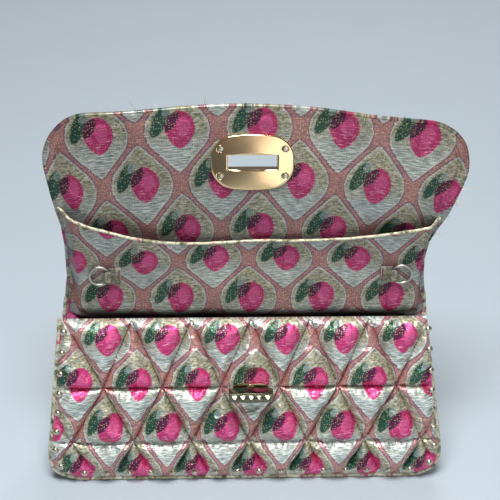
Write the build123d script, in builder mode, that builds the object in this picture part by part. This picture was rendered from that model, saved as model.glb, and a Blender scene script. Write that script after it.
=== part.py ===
from build123d import *
import os
from math import atan2, cos, degrees, hypot, radians, sin, sqrt

# A flap clutch bag in quilted brocade, standing with its flap raised.
# X runs across the bag, Y from front to back and Z up, with the origin in the middle of the sole.
# Each panel is a folded sheet: a profile in the YZ plane gives its folds and an outline in the XZ
# plane gives its cut. Leans are degrees from upright, positive towards the back.

os.makedirs("parts", exist_ok=True)

# Allowances
overrun = 5  # how far a cut runs past the faces it opens
seam_gap = 0.2  # between a sewn-in piping and the panels' edge
running_clearance = 0.3  # between pieces that move past each other
fit_clearance = 0.08  # round a shaft in its bearing
hole_clearance = 0.4  # round hardware that passes through cloth

# Body
base_width = 264  # seam to seam at the bottom
neck_width = 239  # seam to seam at the mouth
bag_depth = 50  # outside to outside at the bottom seam
seam_height = 3.4  # bottom seam above the table
corner_radius = 20
front_sheet = 2.5
back_sheet = 4
gusset_sheet = 2
piping_radius = 1.5
piping_bend = 30  # radius of the piping where the panel behind it folds

# Front panel, row by row from the bottom
hem_row = 30
lock_row = 42
mouth_row = 48
hem_lean, lock_row_lean, mouth_lean = -3, 3, 9.5

# Back wall and flap
fold_rise = 1.5  # the back's fold above the mouth
fold_offset = 9  # inside of the back at the fold, behind the middle of the bag
lower_flap = 74
upper_flap = 66
lower_flap_lean, upper_flap_lean = -8, 12
fold_radius = 20
flap_left = 134  # from the middle to the flap's corners
flap_right = 140
flap_corner = 30
flap_crown = 480  # radius in the middle of the flap's end
flap_left_drop = 11  # the flap's end falls this much to its left corner
flap_right_drop = 19

# Quilting
quilt_pitch = 38.5
stitch_gap = 0.6  # from a stitch line to the foot of a pad
pad_rise = 2.2
pad_slope_width = 2.6
pad_crown = 1.6
pad_crown_width = 4.5
pad_sink = 0.5
quilt_border = 9  # flat edge that carries the studs
hem_cell = 45  # height of the hem row's triangles, cut off by the bottom seam
back_wall_rows, lower_flap_rows, upper_flap_rows = 3, 2, 2

# Gusset
crease_start = 34
gusset_drop = 11  # the gusset's top edge below the mouth
crease_depth = 14
crease_foot = 0.6  # depth of the crease where it starts
crease_middle_share = 0.4
sole_inset = 4

# Slip pocket
pocket_sheet = 2
pocket_height = 47  # middle of its top edge above the fold
pocket_side_rise = 18  # its sides stand this much higher
pocket_mouth_gap = 8.3
pocket_bend_rise = 9
pocket_tuck_drop = 7
pocket_tuck_gap = 5.7
pocket_bend = 6
pocket_seam_drop = 62
pocket_flange = 8
pocket_side_inset = 2.5
pocket_bag_width = 204  # its hidden lower part, between the gusset's creases
pocket_waist_drop = 8  # full width down to here, below the fold
pocket_narrow_drop = 14
pocket_wall = 3

# Rings and their tabs
ring_place = 97  # ring centre from the middle of the bag
ring_height = 28  # ring centre above the fold
ring_radius = 6.4
ring_wire = 0.8  # radius of the wire
tab_height = 9
tab_sheet = 0.8
tab_tail = 8

# Studs
stud_radius = 2.4
stud_height = 2.1
stud_pitch = 14.5
stud_inset = 5

# Turn lock
lock_seat_radius = 13.5
lock_seat_rise = 3.2
lock_plate_length = 24
lock_plate_width = 9
lock_plate_thickness = 1.8
collar_radius = 4
collar_height = 2
spindle_radius = 2
knob_length = 29
knob_height = 7
knob_end_height = 5.4
knob_depth = 9
knob_rounding = 1
facet_count = 5
facet_height = 2.4
facet_margin = 0.5
facet_tip = 0.8
backplate_thickness = 1
washer_radius = 3.8
washer_thickness = 1.2
prong_place = 8
prong_width = 3.2
prong_thickness = 0.8
prong_foot = 3

# Slot plates
slot_rise = 29  # slot centre above the flap's bend
slot_length = 31
slot_height = 9.5
slot_corner = 1.5
plate_width = 52
plate_height = 36
plate_side_bow = 1.6
plate_end_bow = 3
plate_corner = 10.5
plate_thickness = 2.2
plate_edge = 0.7
sleeve_wall = 1.2
screw_across = 20.3
screw_up = 8.8
screw_head_radius = 1.7
screw_head_height = 1
screw_recess = 0.8
screw_shank_radius = 0.8
screw_drive_width = 0.5
screw_drive_depth = 0.4
post_radius = 1.8
plate_seat_margin = 1.5


# Profile of the panels in the YZ plane, as (y, z) points

def run_up(foot, lean, length):
    """The upper end of a straight run that starts at foot."""
    return foot[0] + length * sin(radians(lean)), foot[1] + length * cos(radians(lean))


def shifted(line, distance):
    """The same line moved towards the back."""
    return [(y + distance, z) for y, z in line]


def level_y(line, z):
    """Where a line that rises from point to point stands at height z."""
    for low, high in zip(line[:-1], line[1:]):
        if z <= high[1]:
            break
    return low[0] + (high[0] - low[0]) * (z - low[1]) / (high[1] - low[1])


def row_plane(foot, lean, facing):
    """Plane of a straight run, facing the front (-1) or the back (1), with its y up the run."""
    turn = radians(lean)
    normal = (0, facing * cos(turn), -facing * sin(turn))
    return Plane(origin=(0, *foot), x_dir=(-facing, 0, 0), z_dir=normal)


front_rows = ((hem_row, hem_lean), (lock_row, lock_row_lean), (mouth_row, mouth_lean))
front_line = [(-bag_depth / 2, seam_height)]
for length, lean in front_rows:
    front_line.append(run_up(front_line[-1], lean, length))
front_inside = shifted(front_line, front_sheet)
mouth_z = front_line[-1][1]
fold_z = mouth_z + fold_rise

back_foot = (bag_depth / 2 - back_sheet, seam_height)
fold = (fold_offset, fold_z)
flap_bend = run_up(fold, lower_flap_lean, lower_flap)
flap_end = run_up(flap_bend, upper_flap_lean, upper_flap)
back_line = [back_foot, fold, flap_bend, flap_end]
back_outside = shifted(back_line, back_sheet)
back_lean = degrees(atan2(fold[0] - back_foot[0], fold[1] - back_foot[1]))


# Outlines of the panels in the XZ plane, as (x, z) points

def half_width(z):
    """From the middle of the body to its side seam."""
    share = (z - seam_height) / (fold_z - seam_height)
    return (base_width + (neck_width - base_width) * share) / 2


def wall_edge(inset, top):
    """Side, bottom and side of the front or back wall."""
    side, foot = half_width(top) - inset, base_width / 2 - inset
    low = seam_height + inset
    return [(-side, top), (-foot, low), (foot, low), (side, top)]


def flap_edge(inset):
    """Side, end and side of the flap."""
    waist, top = neck_width / 2 - inset, flap_end[1] - inset
    left = (inset - flap_left, top - flap_left_drop)
    right = (flap_right - inset, top - flap_right_drop)
    return [(-waist, fold_z), left, (0, top), right, (waist, fold_z)]


def closed_face(points, radius):
    """A face whose rounded edge is closed by a straight line between its ends."""
    with BuildSketch() as face:
        with BuildLine():
            edge = FilletPolyline(*points, radius=radius)
            Line(edge @ 1, edge @ 0)
        make_face()
    return face.sketch


def wall_face(inset, top):
    return closed_face(wall_edge(inset, top), corner_radius - inset)


def flap_face(inset):
    return closed_face(flap_edge(inset), (flap_corner - inset, flap_crown, flap_corner - inset))


def sheet_section(line, thickness, radius):
    """The section of a folded sheet."""
    with BuildSketch() as section:
        with BuildLine():
            inside = FilletPolyline(*line, radius=radius)
            outside = FilletPolyline(*shifted(line, thickness), radius=radius)
            Line(inside @ 0, outside @ 0)
            Line(inside @ 1, outside @ 1)
        make_face()
    return section.sketch


# Quilting

def inset_triangle(corners, distance):
    """A triangle with its sides moved inwards."""
    starts, ends = corners[1:] + corners[:1], corners[2:] + corners[:2]
    sides = [hypot(end[0] - start[0], end[1] - start[1]) for start, end in zip(starts, ends)]
    rim = sum(sides)
    middle = [sum(side * corner[axis] for side, corner in zip(sides, corners)) / rim for axis in (0, 1)]
    (ax, ay), (bx, by), (cx, cy) = corners
    inner_radius = abs((bx - ax) * (cy - ay) - (cx - ax) * (by - ay)) / rim
    keep = 1 - distance / inner_radius
    mx, my = middle
    return [(mx + (x - mx) * keep, my + (y - my) * keep) for x, y in corners]


def row_cells(low, high, reach, lower_share):
    """The triangles between two stitch lines, whose lower corners are shifted by a share of the pitch."""
    cells = []
    count = int(reach / quilt_pitch) + 1
    for step in range(-count, count + 1):
        middle = (step + lower_share) * quilt_pitch
        left, right = middle - quilt_pitch / 2, middle + quilt_pitch / 2
        cells.append([(left, high), (middle, low), (right, high)])
        cells.append([(middle, low), (middle + quilt_pitch, low), (right, high)])
    return cells


def quilt_row(plane, cells):
    """A list with one padded triangle for each cell of a row."""
    sections = (
        (-pad_sink, stitch_gap),
        (0, stitch_gap),
        (pad_rise, stitch_gap + pad_slope_width),
        (pad_rise + pad_crown, stitch_gap + pad_slope_width + pad_crown_width),
    )
    pads = []
    for cell in cells:
        with BuildPart() as pad:
            for height, inset in sections:
                with BuildSketch(plane.offset(height)):
                    Polygon(*inset_triangle(cell, inset))
            loft(ruled=True)
        pads.append(pad.part)
    return pads


# Hardware planes

lock_lean = (lock_row_lean + mouth_lean) / 2
lock_plane = row_plane(front_line[2], lock_lean, -1)
flap_plane = row_plane(run_up(flap_bend, upper_flap_lean, slot_rise), upper_flap_lean, -1)
flap_thickness = back_sheet * cos(radians(upper_flap_lean))
backplate_face = -(front_sheet + lock_plate_width / 2 * sin(radians(mouth_lean - lock_lean)))
backplate_back = backplate_face - backplate_thickness


def plate_face(margin):
    """The slot plate's bowed outline."""
    end_x, side_x = plate_width / 2 - plate_side_bow + margin, plate_width / 2 + margin
    end_y, side_y = plate_height / 2 - plate_end_bow + margin, plate_height / 2 + margin
    with BuildSketch() as outline:
        with BuildLine():
            ThreePointArc((-end_x, end_y), (0, side_y), (end_x, end_y))
            ThreePointArc((end_x, end_y), (side_x, 0), (end_x, -end_y))
            ThreePointArc((end_x, -end_y), (0, -side_y), (-end_x, -end_y))
            ThreePointArc((-end_x, -end_y), (-side_x, 0), (-end_x, end_y))
        make_face()
        fillet(outline.vertices(), plate_corner)
    return outline.sketch


screw_places = GridLocations(2 * screw_across, 2 * screw_up, 2, 2)
prong_places = GridLocations(2 * prong_place, 0, 2, 1)


# Front panel: folded sheet, padded triangles, and a flat seat with holes for the lock

with BuildPart() as front_pads:
    low = hem_row - hem_cell
    lower_share = 0.5
    for foot, (length, lean) in zip(front_line, front_rows):
        add(quilt_row(row_plane(foot, lean, -1), row_cells(low, length, base_width / 2, lower_share)))
        low = 0
        lower_share = 0.5 - lower_share
    with BuildSketch(Plane.XZ):
        add(wall_face(quilt_border, mouth_z))
    extrude(amount=bag_depth, both=True, mode=Mode.INTERSECT)

with BuildPart() as front_panel:
    with BuildSketch(Plane.YZ):
        add(sheet_section(front_line, front_sheet, 0))
    extrude(amount=base_width, both=True)
    with BuildSketch(Plane.XZ):
        add(wall_face(0, mouth_z + overrun))
    extrude(amount=bag_depth, both=True, mode=Mode.INTERSECT)
    add(front_pads.part)
    with BuildSketch(lock_plane.offset(-front_sheet / 2)):
        Circle(lock_seat_radius)
    extrude(amount=front_sheet / 2 + lock_seat_rise)
    with BuildSketch(lock_plane.offset(lock_seat_rise)):
        Circle(lock_seat_radius)
    extrude(amount=pad_rise + pad_crown + overrun, mode=Mode.SUBTRACT)
    with BuildSketch(lock_plane):
        Circle(spindle_radius + hole_clearance)
        with prong_places:
            Rectangle(prong_thickness + 2 * hole_clearance, prong_width + 2 * hole_clearance)
    extrude(amount=lock_seat_rise + overrun, both=True, mode=Mode.SUBTRACT)
front_panel.part.label = "front_panel"
export_step(front_panel.part, "parts/front_panel.step")


# Back wall and flap: one folded sheet, quilted outside, cut for the slot plates

runs = (
    (back_outside[0], back_outside[1], back_wall_rows, back_lean),
    (back_outside[1], back_outside[2], lower_flap_rows, lower_flap_lean),
    (back_outside[2], back_outside[3], upper_flap_rows, upper_flap_lean),
)

with BuildPart() as back_pads:
    lower_share = 0.5
    for foot, head, rows, lean in runs:
        run_length = hypot(head[0] - foot[0], head[1] - foot[1])
        plane = row_plane(foot, lean, 1)
        for row in range(rows):
            low, high = run_length * row / rows, run_length * (row + 1) / rows
            add(quilt_row(plane, row_cells(low, high, flap_right, lower_share)))
            lower_share = 0.5 - lower_share
    with BuildSketch(Plane.XZ):
        add(wall_face(quilt_border, fold_z))
        add(flap_face(quilt_border))
    extrude(amount=bag_depth, both=True, mode=Mode.INTERSECT)

with BuildPart() as back_and_flap:
    with BuildSketch(Plane.YZ):
        add(sheet_section(back_line, back_sheet, fold_radius))
    extrude(amount=base_width, both=True)
    with BuildSketch(Plane.XZ):
        add(wall_face(0, fold_z))
        add(flap_face(0))
    extrude(amount=bag_depth, both=True, mode=Mode.INTERSECT)
    add(back_pads.part)
    with BuildSketch(flap_plane.offset(-flap_thickness)):
        add(plate_face(plate_seat_margin))
    extrude(amount=-(pad_rise + pad_crown + overrun), mode=Mode.SUBTRACT)
    with BuildSketch(flap_plane):
        sleeve_side = 2 * (sleeve_wall + hole_clearance)
        RectangleRounded(slot_length + sleeve_side, slot_height + sleeve_side, slot_corner + sleeve_wall)
        with screw_places:
            Circle(post_radius + hole_clearance)
    extrude(amount=flap_thickness + overrun, both=True, mode=Mode.SUBTRACT)
back_and_flap.part.label = "back_and_flap"
export_step(back_and_flap.part, "parts/back_and_flap.step")


# Gusset: one strip along sides and bottom, creased inwards towards the mouth, with a flat sole

gusset_top = mouth_z - gusset_drop
crease_levels = (
    (crease_start, crease_foot),
    (front_line[2][1], crease_depth * crease_middle_share),
    (gusset_top, crease_depth),
)

with BuildPart() as gusset:
    with BuildSketch(Plane.XZ):
        add(wall_face(0, crease_start))
        add(wall_face(gusset_sheet, crease_start), mode=Mode.SUBTRACT)
    extrude(amount=bag_depth, both=True)
    with BuildSketch(Plane.YZ):
        Polygon(*front_inside, *reversed(back_line[:2]))
    extrude(amount=base_width, both=True, mode=Mode.INTERSECT)
    for side in (-1, 1):
        for z, crease in crease_levels:
            front_y, back_y = level_y(front_inside, z), level_y(back_line, z)
            outer, inner = half_width(z), half_width(z) - gusset_sheet
            middle_y = (front_y + back_y) / 2
            with BuildSketch(Plane.XY.offset(z)):
                Polygon(
                    (side * outer, front_y),
                    (side * (outer - crease), middle_y),
                    (side * outer, back_y),
                    (side * inner, back_y),
                    (side * (inner - crease), middle_y),
                    (side * inner, front_y),
                )
        loft(ruled=True)
    sole_half = base_width / 2 - corner_radius
    front_foot, back_heel = front_inside[0][0], back_foot[0]
    with BuildSketch(Plane.YZ):
        Polygon(
            (front_foot, seam_height),
            (front_foot + sole_inset, 0),
            (back_heel - sole_inset, 0),
            (back_heel, seam_height),
            (back_heel - sole_inset, seam_height + gusset_sheet / 2),
            (front_foot + sole_inset, seam_height + gusset_sheet / 2),
        )
    extrude(amount=sole_half, both=True)
gusset.part.label = "gusset"
export_step(gusset.part, "parts/gusset.step")


# Slip pocket: a sheet sewn to the back below the fold and to the flap at its sides

pocket_top = fold_z + pocket_height
pocket_side_top = pocket_top + pocket_side_rise
pocket_face = level_y(back_line, pocket_top) - pocket_mouth_gap - pocket_sheet
pocket_foot = fold_z - pocket_seam_drop
tuck_z = fold_z - pocket_tuck_drop
bend_z = fold_z + pocket_bend_rise
pocket_line = [
    (level_y(back_line, pocket_foot) - pocket_sheet, pocket_foot),
    (level_y(back_line, pocket_foot + pocket_flange) - pocket_sheet, pocket_foot + pocket_flange),
    (level_y(back_line, tuck_z) - pocket_tuck_gap - pocket_sheet, tuck_z),
    (pocket_face, bend_z),
    (pocket_face, pocket_side_top + overrun),
]


def flap_half(z, side, drop):
    """From the middle of the flap to the side whose corner stands there, below the rounding."""
    share = (z - fold_z) / (flap_end[1] - drop - fold_z)
    return neck_width / 2 + (side - neck_width / 2) * share


def pocket_half(z):
    """From the middle of the pocket to its side, inside both sides of the flap."""
    left, right = flap_half(z, flap_left, flap_left_drop), flap_half(z, flap_right, flap_right_drop)
    return min(left, right) - pocket_side_inset


top_half, waist_half = pocket_half(pocket_side_top), pocket_half(bend_z)
waist_low, narrow_high = fold_z - pocket_waist_drop, fold_z - pocket_narrow_drop


def fill_pocket_space():
    """The space between the pocket's sheet and the flap, in the current sketch."""
    inside, high = pocket_face + pocket_sheet, pocket_side_top + overrun
    Polygon(
        (inside, bend_z),
        (level_y(back_line, bend_z), bend_z),
        (level_y(back_line, high), high),
        (inside, high),
    )


with BuildPart() as pocket_panel:
    with BuildSketch(Plane.YZ):
        add(sheet_section(pocket_line, pocket_sheet, pocket_bend))
        fill_pocket_space()
    extrude(amount=neck_width, both=True)
    with BuildSketch(Plane.YZ):
        fill_pocket_space()
    extrude(amount=waist_half - pocket_wall, both=True, mode=Mode.SUBTRACT)
    with BuildSketch(Plane.XZ):
        with BuildLine():
            Polyline(
                (top_half, pocket_side_top),
                (waist_half, bend_z),
                (waist_half, waist_low),
                (pocket_bag_width / 2, narrow_high),
                (pocket_bag_width / 2, pocket_foot),
                (-pocket_bag_width / 2, pocket_foot),
                (-pocket_bag_width / 2, narrow_high),
                (-waist_half, waist_low),
                (-waist_half, bend_z),
                (-top_half, pocket_side_top),
            )
            ThreePointArc((-top_half, pocket_side_top), (0, pocket_top), (top_half, pocket_side_top))
        make_face()
    extrude(amount=bag_depth, both=True, mode=Mode.INTERSECT)
pocket_panel.part.label = "pocket_panel"
export_step(pocket_panel.part, "parts/pocket_panel.step")


# Piping in the seams

piping_reach = piping_radius + seam_gap


def pipe(name, points, radii):
    """A round cord along straight runs and arcs."""
    with BuildPart() as cord:
        with BuildLine() as route:
            FilletPolyline(*points, radius=radii)
        with BuildSketch(Plane(origin=route.line @ 0, z_dir=route.line % 0)):
            Circle(piping_radius)
        sweep()
    cord.part.label = name
    export_step(cord.part, f"parts/{name}.step")


def seam_route(line, thickness):
    """Points of a wall's seam, from the left top round the bottom to the right top."""
    side = []
    for y, z in reversed(line[1:]):
        side.append((half_width(z) + piping_reach, y + thickness / 2, z))
    foot = (base_width / 2 + piping_reach, line[0][0] + thickness / 2, seam_height - piping_reach)
    left = [(-x, y, z) for x, y, z in side + [foot]]
    return left + [foot] + side[::-1]


corner_bend = corner_radius + piping_reach
pipe(
    "front_piping",
    seam_route(front_line, front_sheet),
    (piping_bend, piping_bend, corner_bend, corner_bend, piping_bend, piping_bend),
)
pipe("back_piping", seam_route(back_line[:2], back_sheet), (corner_bend, corner_bend))


def flap_point(x, z):
    """A point of the flap's piping, in the middle of the sheet's thickness."""
    return x, level_y(back_line, z) + back_sheet / 2, z


def flap_side(hand, side, drop, corner):
    """The piping's points up one side of the flap, from the fold to the corner."""
    points = []
    for z in (fold_z + 2 * seam_gap, flap_bend[1]):
        points.append(flap_point(hand * (flap_half(z, side, drop) + piping_reach), z))
    return points + [flap_point(*corner)]


left_corner, crown_point, right_corner = flap_edge(-piping_reach)[1:4]
flap_route = flap_side(-1, flap_left, flap_left_drop, left_corner)
flap_route.append(flap_point(*crown_point))
flap_route += reversed(flap_side(1, flap_right, flap_right_drop, right_corner))
flap_bend_radius = flap_corner + piping_reach
pipe(
    "flap_piping",
    flap_route,
    (piping_bend, flap_bend_radius, flap_crown, flap_bend_radius, piping_bend),
)


# Rings, each in a brocade tab looped round its wire

arc_low = sqrt(ring_radius**2 - (tab_height / 2) ** 2) - ring_wire
arc_high = ring_radius + ring_wire
loop_offset = (arc_low + arc_high) / 2
loop_inside = (arc_high - arc_low) / 2 + running_clearance
loop_outside = loop_inside + tab_sheet
ring_z = fold_z + ring_height
loop_y = pocket_face - loop_outside

for side, hand in ((-1, "left"), (1, "right")):
    with BuildPart() as ring:
        with Locations((side * ring_place, loop_y, ring_z)):
            Torus(ring_radius, ring_wire, rotation=(90, 0, 0))
    ring.part.label = f"ring_{hand}"
    export_step(ring.part, f"parts/ring_{hand}.step")

    loop_x = side * (ring_place - loop_offset)
    with BuildPart() as tab:
        with BuildSketch(Plane.XY.offset(ring_z - tab_height / 2)):
            with Locations((loop_x, loop_y)):
                Circle(loop_outside)
            with Locations((loop_x - side * tab_tail / 2, pocket_face - tab_sheet)):
                Rectangle(tab_tail, 2 * tab_sheet)
            with Locations((loop_x, loop_y)):
                Circle(loop_inside, mode=Mode.SUBTRACT)
        extrude(amount=tab_height)
    tab.part.label = f"ring_tab_{hand}"
    export_step(tab.part, f"parts/ring_tab_{hand}.step")


# Studs along the edges

dome_radius = (stud_radius**2 + stud_height**2) / (2 * stud_height)

with BuildPart() as stud:
    with BuildSketch(Plane.XZ):
        with BuildLine():
            Line((0, 0), (stud_radius, 0))
            RadiusArc((stud_radius, 0), (0, stud_height), -dome_radius)
            Line((0, stud_height), (0, 0))
        make_face()
    revolve(axis=Axis.Z)


def stud_row(name, edge, line, leans, facing):
    """Studs at an even pitch along an edge, seated flat on the straight runs of a line."""
    planes = []
    count = round(edge.length / stud_pitch)
    for step in range(count):
        place = edge @ ((step + 0.5) / count)
        run = 0
        while run < len(leans) - 1 and place.Y > line[run + 1][1]:
            run += 1
        plane = row_plane((level_y(line, place.Y), place.Y), leans[run], facing)
        origin = plane.origin + Vector(place.X, 0, 0)
        planes.append(Plane(origin=origin, x_dir=plane.x_dir, z_dir=plane.z_dir))
    with BuildPart() as studs:
        with Locations(*planes):
            add(stud.part)
    studs.part.label = name
    export_step(studs.part, f"parts/{name}.step")


wall_stud_edge = FilletPolyline(*wall_edge(stud_inset, mouth_z), radius=corner_radius - stud_inset)
stud_row("edge_studs", wall_stud_edge, front_line, (hem_lean, lock_row_lean, mouth_lean), -1)
stud_corner = flap_corner - stud_inset
flap_stud_edge = FilletPolyline(*flap_edge(stud_inset), radius=(stud_corner, flap_crown, stud_corner))
stud_row("flap_studs", flap_stud_edge, back_outside[1:], (lower_flap_lean, upper_flap_lean), 1)


# Turn lock

lock_plate_top = lock_seat_rise + lock_plate_thickness
collar_top = lock_plate_top + collar_height
knob_back = collar_top + running_clearance
knob_front = knob_back + knob_depth

with BuildPart() as lock_base:
    with BuildSketch(lock_plane.offset(lock_seat_rise)):
        SlotOverall(lock_plate_length, lock_plate_width)
    extrude(amount=lock_plate_thickness)
    with BuildSketch(lock_plane.offset(lock_plate_top)):
        Circle(collar_radius)
    extrude(amount=collar_height)
    with BuildSketch(lock_plane.offset(lock_seat_rise)):
        Circle(spindle_radius + fit_clearance)
    extrude(amount=lock_plate_thickness + collar_height, mode=Mode.SUBTRACT)
    with BuildSketch(lock_plane.offset(lock_seat_rise)):
        with prong_places:
            Rectangle(prong_thickness, prong_width)
    extrude(amount=backplate_back - prong_thickness - lock_seat_rise)
    with BuildSketch(lock_plane.offset(backplate_back)):
        with GridLocations(2 * prong_place + prong_foot, 0, 2, 1):
            Rectangle(prong_foot + prong_thickness, prong_width)
    extrude(amount=-prong_thickness)
lock_base.part.label = "lock_base"
export_step(lock_base.part, "parts/lock_base.step")

with BuildPart() as lock_backplate:
    with BuildSketch(lock_plane.offset(backplate_face)):
        SlotOverall(lock_plate_length, lock_plate_width)
        Circle(spindle_radius + hole_clearance, mode=Mode.SUBTRACT)
        with prong_places:
            Rectangle(
                prong_thickness + 2 * fit_clearance,
                prong_width + 2 * fit_clearance,
                mode=Mode.SUBTRACT,
            )
    extrude(amount=-backplate_thickness)
lock_backplate.part.label = "lock_backplate"
export_step(lock_backplate.part, "parts/lock_backplate.step")

washer_face = backplate_back - running_clearance
washer_back = washer_face - washer_thickness

with BuildPart() as turn_knob:
    with BuildSketch(lock_plane.offset(knob_back)):
        with BuildLine():
            end_x, end_y, crown_y = knob_length / 2, knob_end_height / 2, knob_height / 2
            ThreePointArc((-end_x, end_y), (0, crown_y), (end_x, end_y))
            Line((end_x, end_y), (end_x, -end_y))
            ThreePointArc((end_x, -end_y), (0, -crown_y), (-end_x, -end_y))
            Line((-end_x, -end_y), (-end_x, end_y))
        bar_face = make_face()
        fillet(bar_face.vertices(), knob_rounding)
    extrude(amount=knob_depth)
    facet_pitch = (knob_length - 2 * knob_rounding) / facet_count
    for step in range(facet_count):
        place = lock_plane.offset(knob_front)
        middle = (step - (facet_count - 1) / 2) * facet_pitch
        with BuildSketch(place):
            with Locations((middle, 0)):
                Rectangle(facet_pitch - facet_margin, knob_end_height - 2 * facet_margin)
        with BuildSketch(place.offset(facet_height)):
            with Locations((middle, 0)):
                Rectangle(facet_tip, facet_tip)
        loft(ruled=True)
    with BuildSketch(lock_plane.offset(knob_back)):
        Circle(spindle_radius)
    extrude(amount=washer_back - knob_back)
turn_knob.part.label = "turn_knob"
export_step(turn_knob.part, "parts/turn_knob.step")

with BuildPart() as spindle_washer:
    with BuildSketch(lock_plane.offset(washer_face)):
        Circle(washer_radius)
        Circle(spindle_radius, mode=Mode.SUBTRACT)
    extrude(amount=-washer_thickness)
spindle_washer.part.label = "spindle_washer"
export_step(spindle_washer.part, "parts/spindle_washer.step")


# Slot plates and their screws

flap_front = Axis((0, 0, 0), flap_plane.z_dir)

with BuildPart() as slot_plate_inner:
    with BuildSketch(flap_plane):
        add(plate_face(0))
        RectangleRounded(slot_length, slot_height, slot_corner, mode=Mode.SUBTRACT)
        with screw_places:
            Circle(screw_shank_radius + fit_clearance, mode=Mode.SUBTRACT)
    extrude(amount=plate_thickness)
    rim = slot_plate_inner.faces().sort_by(flap_front)[-1].outer_wire()
    chamfer(rim.edges(), plate_edge)
    with BuildSketch(flap_plane.offset(plate_thickness - screw_recess)):
        with screw_places:
            Circle(screw_head_radius + fit_clearance)
    extrude(amount=screw_recess, mode=Mode.SUBTRACT)
slot_plate_inner.part.label = "slot_plate_inner"
export_step(slot_plate_inner.part, "parts/slot_plate_inner.step")

sleeve_reach = flap_thickness - running_clearance / 2

with BuildPart() as slot_plate_outer:
    with BuildSketch(flap_plane.offset(-flap_thickness)):
        add(plate_face(0))
    extrude(amount=-plate_thickness)
    rim = slot_plate_outer.faces().sort_by(flap_front)[0].outer_wire()
    chamfer(rim.edges(), plate_edge)
    with BuildSketch(flap_plane.offset(-flap_thickness)):
        sleeve_length, sleeve_height = slot_length + 2 * sleeve_wall, slot_height + 2 * sleeve_wall
        RectangleRounded(sleeve_length, sleeve_height, slot_corner + sleeve_wall)
        with screw_places:
            Circle(post_radius)
    extrude(amount=sleeve_reach)
    with BuildSketch(flap_plane):
        RectangleRounded(slot_length, slot_height, slot_corner)
    extrude(amount=-(flap_thickness + plate_thickness), mode=Mode.SUBTRACT)
    with BuildSketch(flap_plane):
        with screw_places:
            Circle(screw_shank_radius + fit_clearance)
    extrude(amount=-flap_thickness, mode=Mode.SUBTRACT)
slot_plate_outer.part.label = "slot_plate_outer"
export_step(slot_plate_outer.part, "parts/slot_plate_outer.step")

head_seat = plate_thickness - screw_recess

with BuildPart() as plate_screws:
    with BuildSketch(flap_plane.offset(head_seat)):
        with screw_places:
            Circle(screw_head_radius)
    extrude(amount=screw_head_height)
    with BuildSketch(flap_plane.offset(head_seat)):
        with screw_places:
            Circle(screw_shank_radius)
    extrude(amount=-(head_seat + sleeve_reach))
    with BuildSketch(flap_plane.offset(head_seat + screw_head_height)):
        with screw_places:
            Rectangle(2 * screw_head_radius, screw_drive_width)
    extrude(amount=-screw_drive_depth, mode=Mode.SUBTRACT)
plate_screws.part.label = "plate_screws"
export_step(plate_screws.part, "parts/plate_screws.step")
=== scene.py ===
"""A flap clutch bag in quilted brocade: the looks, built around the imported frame."""

import random
from math import acos, atan2, cos, hypot, pi, radians, sin, tan

import bmesh
import bpy
import numpy as np
from bpy.props import FloatProperty, FloatVectorProperty, IntProperty, PointerProperty
from mathutils import Matrix, Vector, noise


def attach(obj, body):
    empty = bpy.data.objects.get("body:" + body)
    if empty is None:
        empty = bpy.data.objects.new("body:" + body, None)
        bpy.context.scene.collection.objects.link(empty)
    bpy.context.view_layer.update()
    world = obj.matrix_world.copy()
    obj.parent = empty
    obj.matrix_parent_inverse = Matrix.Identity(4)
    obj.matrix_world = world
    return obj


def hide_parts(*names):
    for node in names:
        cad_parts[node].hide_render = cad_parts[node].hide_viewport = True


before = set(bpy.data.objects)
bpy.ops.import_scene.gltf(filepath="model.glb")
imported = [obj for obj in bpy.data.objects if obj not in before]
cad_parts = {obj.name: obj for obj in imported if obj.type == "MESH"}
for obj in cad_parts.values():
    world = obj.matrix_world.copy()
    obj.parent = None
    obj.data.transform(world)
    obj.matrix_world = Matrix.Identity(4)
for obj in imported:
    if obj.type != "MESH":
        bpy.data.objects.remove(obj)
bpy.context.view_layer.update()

bl_info = {
    "name": "Quilted brocade clutch",
    "version": (1, 0, 0),
    "blender": (4, 5, 0),
    "location": "View3D > Sidebar > Clutch",
    "description": "Builds a flap clutch bag in quilted brocade on its frame",
    "category": "Add Mesh",
}

# Sizes that the frame fixes, in millimetres and degrees from upright
MM = 0.001
SEAM_HEIGHT = 3.4
BASE_WIDTH, NECK_WIDTH, BAG_DEPTH = 264, 239, 50
CORNER_RADIUS = 20
FRONT_SHEET, BACK_SHEET, GUSSET_SHEET = 2.5, 4, 2
FRONT_ROWS = ((30, -3), (42, 3), (48, 9.5))
FOLD_RISE, FOLD_OFFSET = 1.5, 9
FLAP_RUNS = ((74, -8), (66, 12))
FLAP_LEFT, FLAP_RIGHT, FLAP_CORNER, FLAP_CROWN = 134, 140, 30, 480
FLAP_DROPS = (11, 19)
PIPING_RADIUS, SEAM_GAP = 1.5, 0.2
QUILT_PITCH, HEM_CELL = 38.5, 45
BACK_ROWS = (3, 2, 2)
STUD_RADIUS, STUD_HEIGHT, STUD_PITCH, STUD_INSET = 2.4, 2.1, 14.5, 5
CREASE_LEVELS = ((34, 0.6), (75.3, 5.6), (111.6, 14))
SOLE_INSET = 4
POCKET_SHEET, POCKET_HEIGHT, POCKET_SIDE_RISE, POCKET_GAP = 2, 47, 18, 8.3
POCKET_BEND_RISE, POCKET_TUCK_DROP, POCKET_TUCK_GAP = 9, 7, 5.7
POCKET_SEAM_DROP, POCKET_FLANGE, POCKET_INSET, POCKET_BAG_WIDTH = 62, 8, 2.5, 204
POCKET_WAIST_DROP, POCKET_NARROW_DROP = 8, 14
RING_PLACE, RING_HEIGHT, RING_RADIUS, RING_WIRE = 97, 28, 6.4, 0.8
TAB_HEIGHT, TAB_SHEET, TAB_TAIL, TAB_OFFSET, TAB_INSIDE = 9, 0.8, 8, 5.475, 2.025
LOCK_SEAT_RADIUS, LOCK_SEAT_RISE = 13.5, 3.2
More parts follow.
